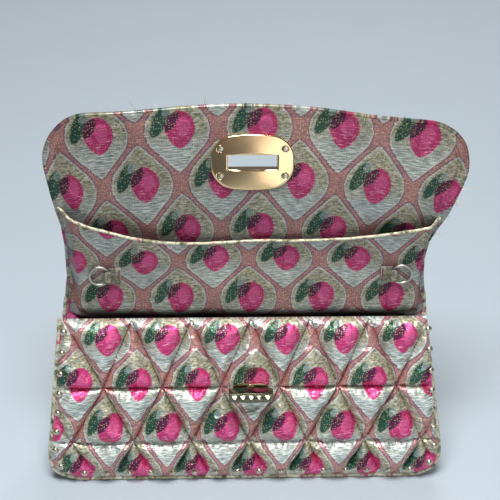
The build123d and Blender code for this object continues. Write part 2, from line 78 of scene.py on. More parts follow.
SLOT_RISE, SLOT_LENGTH, SLOT_HEIGHT = 29, 31, 9.5
PLATE_WIDTH, PLATE_HEIGHT, PLATE_THICKNESS = 52, 36, 2.2
PLATE_SIDE_BOW, PLATE_END_BOW, PLATE_CORNER, PLATE_EDGE = 1.6, 3, 10.5, 0.7
SCREW_ACROSS, SCREW_UP, SCREW_RADIUS = 20.3, 8.8, 1.7

# Sizes of the looks, in millimetres
GRID_STEP = 1.5  # between neighbouring points of a cloth grid
QUILT_STEP = 1.0  # and of the quilted front
QUILT_REACH, QUILT_BORDER = 10, 14  # from a stitch line and from a panel's edge to where a pad is full
QUILT_CAP = 3  # the most that simulation moves a point
STITCH_GROOVE, STITCH_PITCH, THREAD_RADIUS = 0.7, 3.4, 0.24
STITCH_HOLD = 0.7  # from a stitch line to where its cloth is free to move
STITCH_POINTS, STITCH_BOW = 5, 0.25  # along one stitch, and how high it stands
STITCH_BORDER = 8  # from a panel's edge to its first stitch
STUD_SEAT = 2.1  # the studs' foot above the sheet
CORD_STEP, CORD_SIDES = 1.2, 12  # between neighbouring points of a cord's route, and round it
FINE_STEP, STUD_STEP = 0.8, 0.25  # of an edge that is measured from, and of a row of studs
FRONT_SOFTEN, BACK_SOFTEN, POCKET_SOFTEN = 10, 20, 9  # from a bend to where its rounding starts
BEND_POINTS = 12  # round one bend of a folded profile
CLOTH_SIM_UNIT = 100  # millimetres in one unit of the simulated cloth
CLOTH_PRESSURE, CLOTH_FRAMES = 2.0, 14
CLOTH_UNIT = 100  # millimetres of cloth in one unit of its map
FRONT_CELL = (2.7, 76.5)  # a woven cell's middle on the front, across and along
WIRE_SCALE = 1.12  # the ring's wire against its solid, so that it shows
TAB_STEP = 0.5  # between neighbouring points along a tab
TAB_WRAP = 152  # degrees that a tab goes round the wire past its outer side
TAB_STITCHES = 6
PLATE_POINTS = 360  # round a slot plate


def run_up(foot, lean, length):
    """The upper end of a straight run of the profile, as (y, z)."""
    return foot[0] + length * sin(radians(lean)), foot[1] + length * cos(radians(lean))


FRONT_LINE = [(-BAG_DEPTH / 2, SEAM_HEIGHT)]
for row_length, row_lean in FRONT_ROWS:
    FRONT_LINE.append(run_up(FRONT_LINE[-1], row_lean, row_length))
MOUTH_Z = FRONT_LINE[-1][1]
FOLD_Z = MOUTH_Z + FOLD_RISE
BACK_LINE = [(BAG_DEPTH / 2 - BACK_SHEET, SEAM_HEIGHT), (FOLD_OFFSET, FOLD_Z)]
for run_length, run_lean in FLAP_RUNS:
    BACK_LINE.append(run_up(BACK_LINE[-1], run_lean, run_length))
FLAP_TOP = BACK_LINE[-1][1]
SLOT_PLACE = run_up(BACK_LINE[2], FLAP_RUNS[1][1], SLOT_RISE)


class ClutchSizes(bpy.types.PropertyGroup):
    """Sizes of the cloth's looks."""

    puff: FloatProperty(
        name="Puff", description="Height of a quilted triangle above its stitch lines",
        default=0.0062, min=0, max=0.012, unit="LENGTH",
    )
    slack: FloatProperty(
        name="Slack", description="Share of spare cloth in each quilted triangle",
        default=0.06, min=0, max=0.2, subtype="FACTOR",
    )
    crumple: FloatProperty(
        name="Crumple", description="Height of the small creases in the cloth",
        default=0.0005, min=0, max=0.003, unit="LENGTH",
    )
    repeat_width: FloatProperty(
        name="Repeat width", description="Width of one cell of the woven trellis",
        default=0.05, min=0.01, max=0.2, unit="LENGTH",
    )
    repeat_height: FloatProperty(
        name="Repeat height", description="Height of one cell of the woven trellis",
        default=0.069, min=0.01, max=0.2, unit="LENGTH",
    )
    loose_threads: IntProperty(
        name="Loose threads", description="Frayed ends along the flap's edge", default=190, min=0, max=1000,
    )


class ClutchColours(bpy.types.PropertyGroup):
    """Colours that a user would change, as linear values of the hex colours given beside them."""

    floor: FloatVectorProperty(
        name="Floor", description="Pale blue-grey floor, #B5C0C8", subtype="COLOR",
        size=3, default=(0.462, 0.527, 0.578), min=0, max=1,
    )
    world: FloatVectorProperty(
        name="Surroundings", description="Dim grey room, #A1A5A8", subtype="COLOR",
        size=3, default=(0.356, 0.376, 0.392), min=0, max=1,
    )


def linear(hex_colour, alpha=1.0):
    """An sRGB hex colour as linear red, green, blue and alpha."""
    parts = [int(hex_colour[i : i + 2], 16) / 255 for i in (1, 3, 5)]
    parts = [c / 12.92 if c <= 0.04045 else ((c + 0.055) / 1.055) ** 2.4 for c in parts]
    return (*parts, alpha)


# Cut outlines and folded profiles

def lengths_along(path):
    """How far along a path each of its points is."""
    return np.concatenate([[0], np.cumsum(np.linalg.norm(np.diff(path, axis=0), axis=1))])


def rounded_path(corners, radii, step, ends=True):
    """Even points along straight runs joined by arcs, with or without the first and last run."""
    corners = [Vector(corner) for corner in corners]
    path = [corners[0]] if ends else []
    for before, corner, after, radius in zip(corners, corners[1:], corners[2:], radii):
        back, on = (before - corner).normalized(), (after - corner).normalized()
        half = acos(back.dot(on)) / 2
        centre = corner + (back + on).normalized() * radius / sin(half)
        start = corner + back * radius / tan(half) - centre
        end = corner + on * radius / tan(half) - centre
        turn = start.angle_signed(end)
        count = max(3, int(abs(turn) * radius / step))
        for share in np.linspace(0, 1, count):
            angle = atan2(start.y, start.x) - turn * share
            path.append(centre + Vector((cos(angle), sin(angle))) * radius)
    if ends:
        path.append(corners[-1])
    return even_points(np.array(path), step)


def even_points(path, step):
    """The same path with points at an even spacing."""
    gone = lengths_along(path)
    count = int(round(gone[-1] / step)) + 1
    places = np.linspace(0, gone[-1], count)
    return np.stack([np.interp(places, gone, path[:, axis]) for axis in range(path.shape[1])], -1)


def half_width(z):
    """From the middle of the body to its side seam."""
    return (BASE_WIDTH + (NECK_WIDTH - BASE_WIDTH) * (z - SEAM_HEIGHT) / (FOLD_Z - SEAM_HEIGHT)) / 2


def flap_half(z):
    """From the middle of the flap to its nearer side."""
    waist = NECK_WIDTH / 2
    left, right = (
        waist + (side - waist) * (z - FOLD_Z) / (FLAP_TOP - drop - FOLD_Z)
        for side, drop in zip((FLAP_LEFT, FLAP_RIGHT), FLAP_DROPS)
    )
    return np.minimum(left, right)


def wall_path(inset, top, step=GRID_STEP, ends=True):
    """Side, bottom and side of the front or back wall, as (x, z)."""
    side, foot, low = half_width(top) - inset, BASE_WIDTH / 2 - inset, SEAM_HEIGHT + inset
    corners = [(-side, top), (-foot, low), (foot, low), (side, top)]
    return rounded_path(corners, (CORNER_RADIUS - inset,) * 2, step, ends)


def flap_path(inset, step=GRID_STEP, ends=True):
    """Side, end and side of the flap, as (x, z)."""
    waist, top = NECK_WIDTH / 2 - inset, FLAP_TOP - inset
    left, right = (top - drop for drop in FLAP_DROPS)
    corners = [
        (-waist, FOLD_Z), (inset - FLAP_LEFT, left), (0, top), (FLAP_RIGHT - inset, right), (waist, FOLD_Z),
    ]
    return rounded_path(corners, (FLAP_CORNER - inset, FLAP_CROWN, FLAP_CORNER - inset), step, ends)


def soft_profile(points, soften):
    """A folded line whose bends are rounded, with the length along it: columns y, z, length."""
    line = [points[0]]
    for before, bend, after in zip(points, points[1:], points[2:]):
        before, bend, after = (np.array(p, float) for p in (before, bend, after))
        start = bend + (before - bend) * min(0.5, soften / np.linalg.norm(before - bend))
        end = bend + (after - bend) * min(0.5, soften / np.linalg.norm(after - bend))
        for t in np.linspace(0, 1, BEND_POINTS):
            line.append(start * (1 - t) ** 2 + bend * 2 * t * (1 - t) + end * t**2)
    line.append(points[-1])
    line = np.array(line, float)
    return np.column_stack([line, lengths_along(line)])


def depth_at(profile, z):
    """Where a profile stands at height z."""
    return np.interp(z, profile[:, 1], profile[:, 0])


def length_at(profile, z):
    """How far along its profile a cloth is at height z."""
    return np.interp(z, profile[:, 1], profile[:, 2])


def height_at(profile, length):
    """How high a cloth is at a length along its profile, going straight on past its ends."""
    z = np.interp(length, profile[:, 2], profile[:, 1])
    return z + np.minimum(length, 0) + np.maximum(length - profile[-1, 2], 0)


def stand_up(flat, profile, lift=0.0):
    """Points of a cut outline, as (x, z), on a profile and lifted off it towards the front."""
    z, reach = flat[..., 1], GRID_STEP
    slope = (depth_at(profile, z + reach) - depth_at(profile, z - reach)) / (2 * reach)
    size = np.sqrt(1 + slope**2)
    y = depth_at(profile, z) - lift / size
    return np.stack([flat[..., 0], y, z + lift * slope / size], -1)


def ruled_grid(low, high, rows):
    """Points in rows from one edge to another."""
    share = np.linspace(0, 1, rows)[:, None, None]
    count = max(len(low), len(high))
    low, high = (resampled(edge, count) for edge in (low, high))
    return low[None] * (1 - share) + high[None] * share


def resampled(path, count):
    """The same path with that many points."""
    old, new = np.linspace(0, 1, len(path)), np.linspace(0, 1, count)
    return np.stack([np.interp(new, old, path[:, axis]) for axis in range(path.shape[1])], -1)


def edge_distance(flat, path):
    """How far each point of a grid is from a cut edge."""
    found = np.empty(flat.shape[:2])
    for row, points in enumerate(flat):
        found[row] = np.linalg.norm(points[:, None, :] - path[None], axis=-1).min(1)
    return found


def smooth_step(value):
    """Rises softly from 0 to 1 as value does."""
    value = np.clip(value, 0, 1)
    return value * value * (3 - 2 * value)


def roughened(points, size, seed):
    """Smooth noise at points of a grid, from -1 to 1, with bumps of that size."""
    shift = Vector((seed * 17.3, seed * 5.1, seed * 9.7))
    flat = points.reshape(-1, points.shape[-1]) / size
    values = [noise.noise(Vector((*p, 0)[:3]) + shift) for p in flat.tolist()]
    return np.array(values).reshape(points.shape[:-1])


# How the cloth hangs, off the frame's even shape

# Heights up the back and flap, and how far each side moves to the right there
LEFT_PULL = (0, FOLD_Z, 140, 164, 180, 200, 230), (0, 1, 4.5, 6.5, 6.5, 4, 1)
RIGHT_PULL = (
    (0, FOLD_Z, 134, 150, 164, 174, 186, 200, 214, 235),
    (0, -6, -9, -11.5, -11.5, -9.5, -6, -3, 0, 3),
)
PULL_START, LEFT_PULL_SPAN, RIGHT_PULL_SPAN = 103, 22, 24  # from the middle, and from there to the full pull
ROLL_SHARE = 0.5  # of the pull inwards, by which a side also rolls back
# The flap's corners that bend back: side, most, and where that starts and its span, across and up
CORNER_LEANS = ((1, 7, 60, 74, 180, 75), (-1, 3.5, 75, 59, 195, 60))


def edge_pull(x, z):
    """How far the sides of the back and flap draw in or spread, across, in millimetres."""
    left, right = (np.interp(z, *pull) for pull in (LEFT_PULL, RIGHT_PULL))
    left = left * smooth_step((-x - PULL_START) / LEFT_PULL_SPAN)
    return left + right * smooth_step((x - PULL_START) / RIGHT_PULL_SPAN)


def front_pull(x, z):
    """How far the front's sides move across and roll back, in millimetres."""
    inside, high = half_width(z) - np.abs(x), np.clip(z / FOLD_Z, 0, 1)
    # Millimetres in from the side seam, and the moves there at the bottom and, added to them, at the mouth
    places = (-1.7, 0, 5, 26)
    left = np.interp(inside, places, (-1, -2, -4, 0)) + high * np.interp(inside, places, (-0.8, -1, -1.5, 0))
    right = np.interp(inside, places[:3], (-1.5, -1, 0)) + high * np.interp(inside, places[:3], (-6.5, -5, 0))
    back = np.interp(inside, (0, 6), (1, 0)) * (1 + 3 * high * (x > 0))
    return np.where(x < 0, left, right), back


def hang(points, x, z):
    """Moves points of the back and flap from the frame's even shape to where the cloth hangs."""
    points[..., 0] += edge_pull(x, z)
    points[..., 1] += lean_of_flap(x, z)


def hang_front(points, x, z):
    """The same for points of the front."""
    across, back = front_pull(x, z)
    points[..., 0] += across
    points[..., 1] += back


def lean_of_flap(x, z):
    """How far the flap's corners, edge and drawn-in sides bend back from its frame, in millimetres."""
    corners = sum(
        most * smooth_step((side * x - start) / span) * smooth_step((z - low) / rise)
        for side, most, start, span, low, rise in CORNER_LEANS
    )
    ripple = 1.5 * np.sin(x / 33 + 0.6) * smooth_step((z - 205) / 45)
    clear = smooth_step((np.hypot(x, 1.3 * (z - SLOT_PLACE[1])) - 32) / 24)
    rolled = ROLL_SHARE * np.maximum(-np.sign(x) * edge_pull(x, z), 0)
    return (corners + ripple) * clear + rolled


# Quilting

def quilt_gaps(x, s, low, high, lower_share, floor_line):
    """How far each point of a row is from each stitch line of its triangle."""
    height = high - low
    slant = cos(atan2(QUILT_PITCH / 2, height)) * QUILT_PITCH
    across, up = x / QUILT_PITCH - lower_share, (s - low) / height
    gaps = [np.abs((across + turn * up / 2 + 0.5) % 1 - 0.5) * slant for turn in (-1, 1)]
    gaps.append(np.abs(high - s))
    if floor_line:
        gaps.append(np.abs(s - low))
    return gaps


def quilt_cells(x, s, rows):
    """How far each point lies inside its cell, soft where the reaches of its sides meet.

    Each row is (start, end, low, high, share): its ends, its triangles' ends and where they start across.
    """
    near = np.zeros_like(x)
    for start, end, low, high, share in rows:
        here = (s >= start) & (s <= end)
        gaps = quilt_gaps(x[here], s[here], low, high, share, low == start)
        near[here] = sum(np.maximum(gap, 0.02) ** -4.0 for gap in gaps) ** -0.25
    return near


def settled_cloth(points, held, slack):
    """A cloth grid's points after simulation: held where it is stitched, slack and blown out between."""
    rows, columns = points.shape[:2]
    mesh = bpy.data.meshes.new("slack_cloth")
    faces = grid_faces(rows, columns)
    mesh.from_pydata((points.reshape(-1, 3) / CLOTH_SIM_UNIT).tolist(), [], faces.tolist())
    piece = bpy.data.objects.new("slack_cloth", mesh)
    scene = bpy.context.scene
    scene.collection.objects.link(piece)
    stitched = piece.vertex_groups.new(name="stitched")
    stitched.add(np.flatnonzero(held).tolist(), 1.0, "REPLACE")
    cloth = piece.modifiers.new("Cloth", "CLOTH")
    cloth.settings.vertex_group_mass = stitched.name
    cloth.settings.quality = 5
    cloth.settings.bending_stiffness = 0.4
    cloth.settings.shrink_min = -slack
    cloth.settings.use_pressure = True
    cloth.settings.uniform_pressure_force = CLOTH_PRESSURE
    cloth.settings.effector_weights.gravity = 0
    cloth.collision_settings.use_collision = False
    cloth.point_cache.frame_end = CLOTH_FRAMES
    for step in range(1, CLOTH_FRAMES + 1):
        scene.frame_set(step)
    shape = piece.evaluated_get(bpy.context.evaluated_depsgraph_get()).data
    found = np.empty(rows * columns * 3, np.float32)
    shape.vertices.foreach_get("co", found)
    bpy.data.objects.remove(piece)
    bpy.data.meshes.remove(mesh)
    scene.frame_set(1)
    return found.reshape(rows, columns, 3).astype(float) * CLOTH_SIM_UNIT


def quilted(flat, s, rows, border, studs, sizes, seed):
    """Places (x, s) and heights of a quilted face over its sheet, blown out between its stitch lines."""
    x = flat[..., 0]
    near = quilt_cells(x, s, rows)
    places = np.stack([x, s], -1)
    full = (1 - (1 - np.clip(near / QUILT_REACH, 0, 1)) ** 2) ** 0.7
    full *= np.sin(pi / 2 * np.clip(border / QUILT_BORDER, 0, 1))
    lift = sizes.puff / MM * full * (1 + 0.14 * roughened(places, 30, seed))
    creases = roughened(places, 8, seed + 3) + 0.5 * roughened(places, 4, seed + 4)
    lift += sizes.crumple / MM * full * creases
    start = np.concatenate([places, lift[..., None]], -1)
    blown = settled_cloth(start, (near < STITCH_HOLD) | (border < STITCH_HOLD), sizes.slack)
    moved = np.clip(blown - start, -QUILT_CAP, QUILT_CAP)
    moved *= (smooth_step(near / 1.6) * smooth_step(border / 6))[..., None]
    blown = start + moved
    groove = STITCH_GROOVE * np.exp(-((near / 0.8) ** 2)) * smooth_step(border / 6 - 0.5)
    dimple = smooth_step((edge_distance(flat, studs) - STUD_RADIUS + 0.3) / 4)
    height = (blown[..., 2] - groove) * dimple + STUD_SEAT * (1 - dimple)
    return blown[..., 0], blown[..., 1], height


def stitch_dashes(rows, reach):
    """Stitch lines of a quilted face cut into stitches, as ends (x, s) within reach of the middle."""
    dashes = []
    for start, end, low, high, share in rows:
        lines = [((-reach, end), (reach, end))]
        for step in range(-5, 6):
            for turn in (-0.5, 0.5):
                ends = [QUILT_PITCH * (share + step + turn * (s - low) / (high - low)) for s in (start, end)]
                lines.append(((ends[0], start), (ends[1], end)))
        for first, last in np.array(lines):
            count = int(np.linalg.norm(last - first) / STITCH_PITCH)
            for place in range(count):
                shares = np.array([place + 0.1, place + 0.9])[:, None] / count
                dashes.append(first + (last - first) * shares)
    return np.array(dashes)


def stitch_parts(dashes, profile, offset, facing, move):
    """Points, faces and places of small bowed threads between the ends of each stitch, on a sheet's face."""
    way = np.linspace(0, 1, STITCH_POINTS)[:, None]
    bow = STITCH_BOW * np.sin(pi * way[:, 0])
    parts = []
    for first, last in dashes:
        x, s = (first + (last - first) * way).T
        z = height_at(profile, s)
        path = stand_up(np.stack([x, z], -1), profile, offset + facing * bow)
        move(path, x, z)
        parts.append(tube_parts(path, np.full(STITCH_POINTS, THREAD_RADIUS), sides=5))
    return joined_parts(parts)


# Meshes

def mesh_piece(name, points, faces, corners=None, angle=55):
    """A mesh object from points in millimetres, with each face corner's place on the cloth."""
    mesh = bpy.data.meshes.new(name)
    mesh.from_pydata((np.asarray(points) * MM).tolist(), [], [list(face) for face in faces])
    if corners is not None:
        places = mesh.uv_layers.new(name="cloth")
        places.data.foreach_set("uv", (np.asarray(corners, np.float32) / CLOTH_UNIT).ravel())
    solid = bmesh.new()
    solid.from_mesh(mesh)
    loose = [vert for vert in solid.verts if not vert.link_faces]
    bmesh.ops.delete(solid, geom=loose, context="VERTS")
    bmesh.ops.recalc_face_normals(solid, faces=solid.faces)
    solid.to_mesh(mesh)
    solid.free()
    mesh.shade_smooth()
    mesh.set_sharp_from_angle(angle=radians(angle))
    piece = bpy.data.objects.new(name, mesh)
    bpy.context.scene.collection.objects.link(piece)
    return piece


def sheet_piece(name, outer, inner, cloth, keep=None):
    """A closed sheet from the two grids of its faces, with each grid point's place on the flat cloth."""
    rows, columns = outer.shape[:2]
    count = rows * columns
    cells = grid_faces(rows, columns)
    if keep is not None:
        cells = cells[keep.ravel()]
    edges = np.concatenate([cells[:, [side, (side + 1) % 4]] for side in range(4)])
    _, which, times = np.unique(np.sort(edges, 1), axis=0, return_inverse=True, return_counts=True)
    rim = edges[times[which.ravel()] == 1]
    walls = np.stack([rim[:, 1], rim[:, 0], rim[:, 0] + count, rim[:, 1] + count], -1)
    faces = np.concatenate([cells, cells[:, ::-1] + count, walls])
    points = np.concatenate([outer.reshape(-1, 3), inner.reshape(-1, 3)])
    places = np.tile(cloth.reshape(-1, 2), (2, 1))
    return mesh_piece(name, points, faces, places[faces])


def grid_faces(rows, columns, around=False, closed=False):
    """Faces of a grid of points, whose last column or last row may meet its first."""
    index = np.arange(rows * columns).reshape(rows, columns)
    if around:
        index = np.concatenate([index, index[:, :1]], 1)
    if closed:
        index = np.concatenate([index, index[:1]])
    return np.stack([index[:-1, :-1], index[:-1, 1:], index[1:, 1:], index[1:, :-1]], -1).reshape(-1, 4)


def frames_along(path):
    """Two directions square to a path at each of its points."""
    ahead = np.gradient(path, axis=0)
    ahead /= np.linalg.norm(ahead, axis=1)[:, None]
    side = np.cross(ahead, np.array([0.0, 1.0, 0.0]))
    flat = np.linalg.norm(side, axis=1) < 0.2
    side[flat] = np.cross(ahead[flat], np.array([1.0, 0.0, 0.0]))
    side /= np.linalg.norm(side, axis=1)[:, None]
    return side, np.cross(side, ahead)


def tube_parts(path, radii, sides):
    """Points, faces and face-corner places of a closed tube, with small caps."""
    path, radii = np.asarray(path, float), np.asarray(radii, float)
    side, over = frames_along(path)
    angles = np.arange(sides) * 2 * pi / sides
    ring = np.cos(angles)[None, :, None] * side[:, None] + np.sin(angles)[None, :, None] * over[:, None]
    points = path[:, None] + ring * radii[:, None, None]
    count = len(path)
    faces = grid_faces(count, sides, around=True)
    gone = lengths_along(path)
    girth = 2 * pi * radii.mean() / sides
    low, high = (np.repeat(part, sides).reshape(-1, sides) for part in (gone[:-1], gone[1:]))
    left = np.tile(np.arange(sides) * girth, (count - 1, 1))
    right = left + girth
    pairs = (left, low), (right, low), (right, high), (left, high)
    corners = np.stack([np.stack(pair, -1) for pair in pairs], -2).reshape(-1, 2)
    caps = [list(range(sides))[::-1], list(range((count - 1) * sides, count * sides))]
    cap_places = np.zeros((2 * sides, 2))
    return points.reshape(-1, 3), faces.tolist() + caps, np.concatenate([corners, cap_places])


def joined_parts(parts):
    """Several (points, faces, corners) as one."""
    points, faces, corners, count = [], [], [], 0
    for some_points, some_faces, some_corners in parts:
        faces += [[index + count for index in face] for face in some_faces]
        points.append(some_points)
        corners.append(some_corners)
        count += len(some_points)
    return np.concatenate(points), faces, np.concatenate(corners)


def softened_copy(node, name, bevel):
    """The frame's own shape with its hard edges rounded."""
    piece = bpy.data.objects.new(name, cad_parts[node].data.copy())
    bpy.context.scene.collection.objects.link(piece)
    solid = bmesh.new()
    solid.from_mesh(piece.data)
    bmesh.ops.remove_doubles(solid, verts=solid.verts, dist=1e-6)
    bmesh.ops.dissolve_limit(
        solid, angle_limit=radians(1), verts=solid.verts, edges=solid.edges, delimit=set(),
    )
    hard = [
        edge for edge in solid.edges
        if len(edge.link_faces) == 2 and edge.calc_face_angle(0) > radians(28)
    ]
    bmesh.ops.bevel(
        solid, geom=hard, offset=bevel * MM, segments=2, profile=0.5, affect="EDGES", clamp_overlap=True,
    )
    solid.to_mesh(piece.data)
    solid.free()
    piece.data.shade_smooth()
    piece.data.set_sharp_from_angle(angle=radians(38))
    return piece


# Materials

def add_node(tree, kind, links=None, **settings):
    """A node with its settings, and with each input set to a value or linked to an output."""
    node = tree.nodes.new(kind)
    for setting, value in settings.items():
        setattr(node, setting, value)
    for socket, value in (links or {}).items():
        if isinstance(value, bpy.types.NodeSocket):
            tree.links.new(value, node.inputs[socket])
        else:
            node.inputs[socket].default_value = value
    return node


def new_material(name):
    """An empty material, its tree and its output's surface socket."""
    material = bpy.data.materials.new(name)
    material.use_nodes = True
    tree = material.node_tree
    tree.nodes.clear()
    output = add_node(tree, "ShaderNodeOutputMaterial")
    return material, tree, output.inputs["Surface"]


def brocade_motifs():
    """Woven shapes of one cell: middle, half sizes, lean to the right, taper and how like a diamond."""
    return {
        "leaf": (-10.3, 6.0, 4.3, 10.6, 30, 0.1, 0.0),
        "leaf_light": (-5.6, 12.6, 2.4, 3.8, 30, 0.0, 0.0),
        "berry": (1.8, 0.5, 9.3, 12.3, 4, 0.14, 0.16),
        "berry_light": (3.8, 2.0, 4.2, 6.5, 10, 0.1, 0.2),
        "cap": (-3.7, 6.0, 3.7, 7.6, 38, 0.0, 0.0),
    }


def motif_steps():
    """Sums that give how far inside each woven shape a point of the cell lies."""
    steps = []
    for name, (across, up, half_wide, half_high, lean, taper, diamond) in brocade_motifs().items():
        c, s = cos(radians(lean)), sin(radians(lean))
        steps += [
            (name + "_x", "SUBTRACT", "cell_x", across),
            (name + "_y", "SUBTRACT", "cell_y", up),
            (name + "_part_x", "MULTIPLY", name + "_y", -s / half_wide),
            (name + "_wide", "MULTIPLY_ADD", name + "_x", c / half_wide, name + "_part_x"),
            (name + "_part_y", "MULTIPLY", name + "_x", s / half_high),
            (name + "_high", "MULTIPLY_ADD", name + "_y", c / half_high, name + "_part_y"),
            (name + "_narrow", "MULTIPLY_ADD", name + "_high", -taper, 1.0),
            (name + "_drawn", "MULTIPLY", name + "_wide", name + "_narrow"),
            (name + "_square", "MULTIPLY", name + "_drawn", name + "_drawn"),
            (name + "_far", "MULTIPLY_ADD", name + "_high", name + "_high", name + "_square"),
            (name + "_root", "SQRT", name + "_far"),
            (name + "_aside", "ABSOLUTE", name + "_drawn"),
            (name + "_above", "ABSOLUTE", name + "_high"),
            (name + "_sum", "ADD", name + "_aside", name + "_above"),
            (name + "_round", "MULTIPLY", name + "_root", 1 - diamond),
            (name + "_reach", "MULTIPLY_ADD", name + "_sum", diamond, name + "_round"),
            (name + "_in", "SUBTRACT", 1.0, name + "_reach"),
            (name, "MULTIPLY_ADD", name + "_in", 1.6 * half_wide, 0.5),
        ]
    return steps


def trellis_steps(width, height):
    """Sums that give a point's place in its cell of the ogee trellis and how near it is to the lines."""
    straight = 0.55  # share of straight run in the trellis lines, which otherwise swing as a wave
    knot_gain, knot_spread = 5.0, 40  # the knots' extra half width and the square of their reach
    line_half, outline_half, edging_half = 0.85, 1.85, 3.0
    ragged = 2.6  # how far a woven shape's edge wanders
    return [
        ("stray", "SUBTRACT", "weft", 0.5),
        ("u", "MULTIPLY_ADD", "stray", ragged, "x"),
        ("v", "MULTIPLY_ADD", "stray", ragged / 3, "y"),
        ("turn", "MULTIPLY", "v", 2 * pi / height),
        ("wave", "COSINE", "turn"),
        ("zigzag", "PINGPONG", "v", height / 2),
        ("zig_wave", "MULTIPLY_ADD", "zigzag", -4 / height, 1.0),
        ("round_swing", "MULTIPLY", "wave", (1 - straight) * width / 4),
        ("swing", "MULTIPLY_ADD", "zig_wave", straight * width / 4, "round_swing"),
        ("right_line", "SUBTRACT", "u", "swing"),
        ("right_side", "SUBTRACT", "right_line", width / 4),
        ("right_gap", "PINGPONG", "right_side", width / 2),
        ("left_line", "ADD", "u", "swing"),
        ("left_side", "ADD", "left_line", width / 4),
        ("left_gap", "PINGPONG", "left_side", width / 2),
        ("level_gap", "MINIMUM", "right_gap", "left_gap"),
        ("sway", "SINE", "turn"),
        ("sway_size", "ABSOLUTE", "sway"),
        ("steep", "MULTIPLY_ADD", "sway_size", (1 - straight) * pi * width / (2 * height),
         straight * width / height),
        ("steep_square", "MULTIPLY_ADD", "steep", "steep", 1.0),
        ("slant", "INVERSE_SQRT", "steep_square"),
        ("line_gap", "MULTIPLY", "level_gap", "slant"),
        ("first_x", "WRAP", "u", width / 2, -width / 2),
        ("first_y", "WRAP", "v", height / 2, -height / 2),
        ("shifted_x", "ADD", "u", width / 2),
        ("shifted_y", "ADD", "v", height / 2),
        ("second_x", "WRAP", "shifted_x", width / 2, -width / 2),
        ("second_y", "WRAP", "shifted_y", height / 2, -height / 2),
        ("first_reach", "ABSOLUTE", "first_x"),
        ("first_edge", "ADD", "swing", width / 4),
        ("in_first", "LESS_THAN", "first_reach", "first_edge"),
        ("apart_x", "SUBTRACT", "first_x", "second_x"),
        ("apart_y", "SUBTRACT", "first_y", "second_y"),
        ("cell_x", "MULTIPLY_ADD", "apart_x", "in_first", "second_x"),
        ("cell_y", "MULTIPLY_ADD", "apart_y", "in_first", "second_y"),
        # Distance to the nearest knot of the trellis, where its lines thicken
        ("reach_x", "ABSOLUTE", "cell_x"),
        ("reach_y", "ABSOLUTE", "cell_y"),
        ("tip_y", "SUBTRACT", "reach_y", height / 2),
        ("side_x", "SUBTRACT", "reach_x", width / 2),
        ("tip_square", "MULTIPLY", "tip_y", "tip_y"),
        ("tip_far", "MULTIPLY_ADD", "reach_x", "reach_x", "tip_square"),
        ("side_square", "MULTIPLY", "side_x", "side_x"),
        ("side_far", "MULTIPLY_ADD", "reach_y", "reach_y", "side_square"),
        ("knot_far", "MINIMUM", "tip_far", "side_far"),
        ("knot_fade", "MULTIPLY", "knot_far", -1 / knot_spread),
        ("knot", "EXPONENT", "knot_fade"),
        ("thick_line", "MULTIPLY_ADD", "knot", -knot_gain, "line_gap"),
        ("lattice_in", "SUBTRACT", line_half, "thick_line"),
        ("lattice", "MULTIPLY_ADD", "lattice_in", 1.8, 0.5),
        ("outline_in", "SUBTRACT", outline_half, "thick_line"),
        ("outline", "MULTIPLY_ADD", "outline_in", 1.8, 0.5),
        ("edging_in", "SUBTRACT", edging_half, "thick_line"),
        ("edging", "MULTIPLY_ADD", "edging_in", 0.9, 0.5),
    ]


def yarn_steps():
    """Sums that spread the metal yarn: gold above, silver below, dashes, dark specks and sparks painted as
    glints.
    """
    return [
        ("rise", "MULTIPLY_ADD", "stray", 26.0, "cell_y"),
        ("gold_zone", "MULTIPLY_ADD", "rise", 0.075, 0.85),
        ("mottle_in", "SUBTRACT", "mottle", 0.36),
        ("blotch", "MULTIPLY", "mottle_in", 3.6),
        ("sheen_in", "SUBTRACT", "weft", 0.38),
        ("sheen", "MULTIPLY", "sheen_in", 4.0),
        ("dash_in", "SUBTRACT", "weft", 0.585),
        ("dash", "MULTIPLY", "dash_in", 7.0),
        ("lower", "MULTIPLY_ADD", "cell_y", -0.16, 0.55),
        ("fleck_in", "SUBTRACT", "glint", 0.53),
        ("fleck", "MULTIPLY", "fleck_in", 8.0),
        ("lattice_fleck", "MINIMUM", "fleck", "lattice"),
        ("berry_dash", "MULTIPLY", "dash", "lower"),
        ("cap_on_berry", "MINIMUM", "cap", "berry"),
        ("spot_in", "SUBTRACT", 0.3, "spot_gap"),
        ("spot", "MULTIPLY", "spot_in", 5.0),
        ("dark_shape", "MAXIMUM", "leaf", "cap_on_berry"),
        ("lit_from", "MULTIPLY_ADD", "dark_shape", -0.2, 0.72),
        ("lit", "GREATER_THAN", "spot_pick", "lit_from"),
        ("dull", "LESS_THAN", "spot_pick", 0.30),
        ("lit_spot", "MULTIPLY", "spot", "lit"),
        ("plain_berry", "SUBTRACT", "berry", "cap_on_berry"),
        ("off_berry", "MULTIPLY_ADD", "plain_berry", -0.45, 1.0),
        # Painted glints: pale dots on some yarn ends, fewer on the berry
        ("painted_glint", "MULTIPLY", "lit_spot", "off_berry"),
        ("speck", "MULTIPLY", "spot", "dull"),
        ("berry_dash_in", "MINIMUM", "berry_dash", "berry"),
    ]


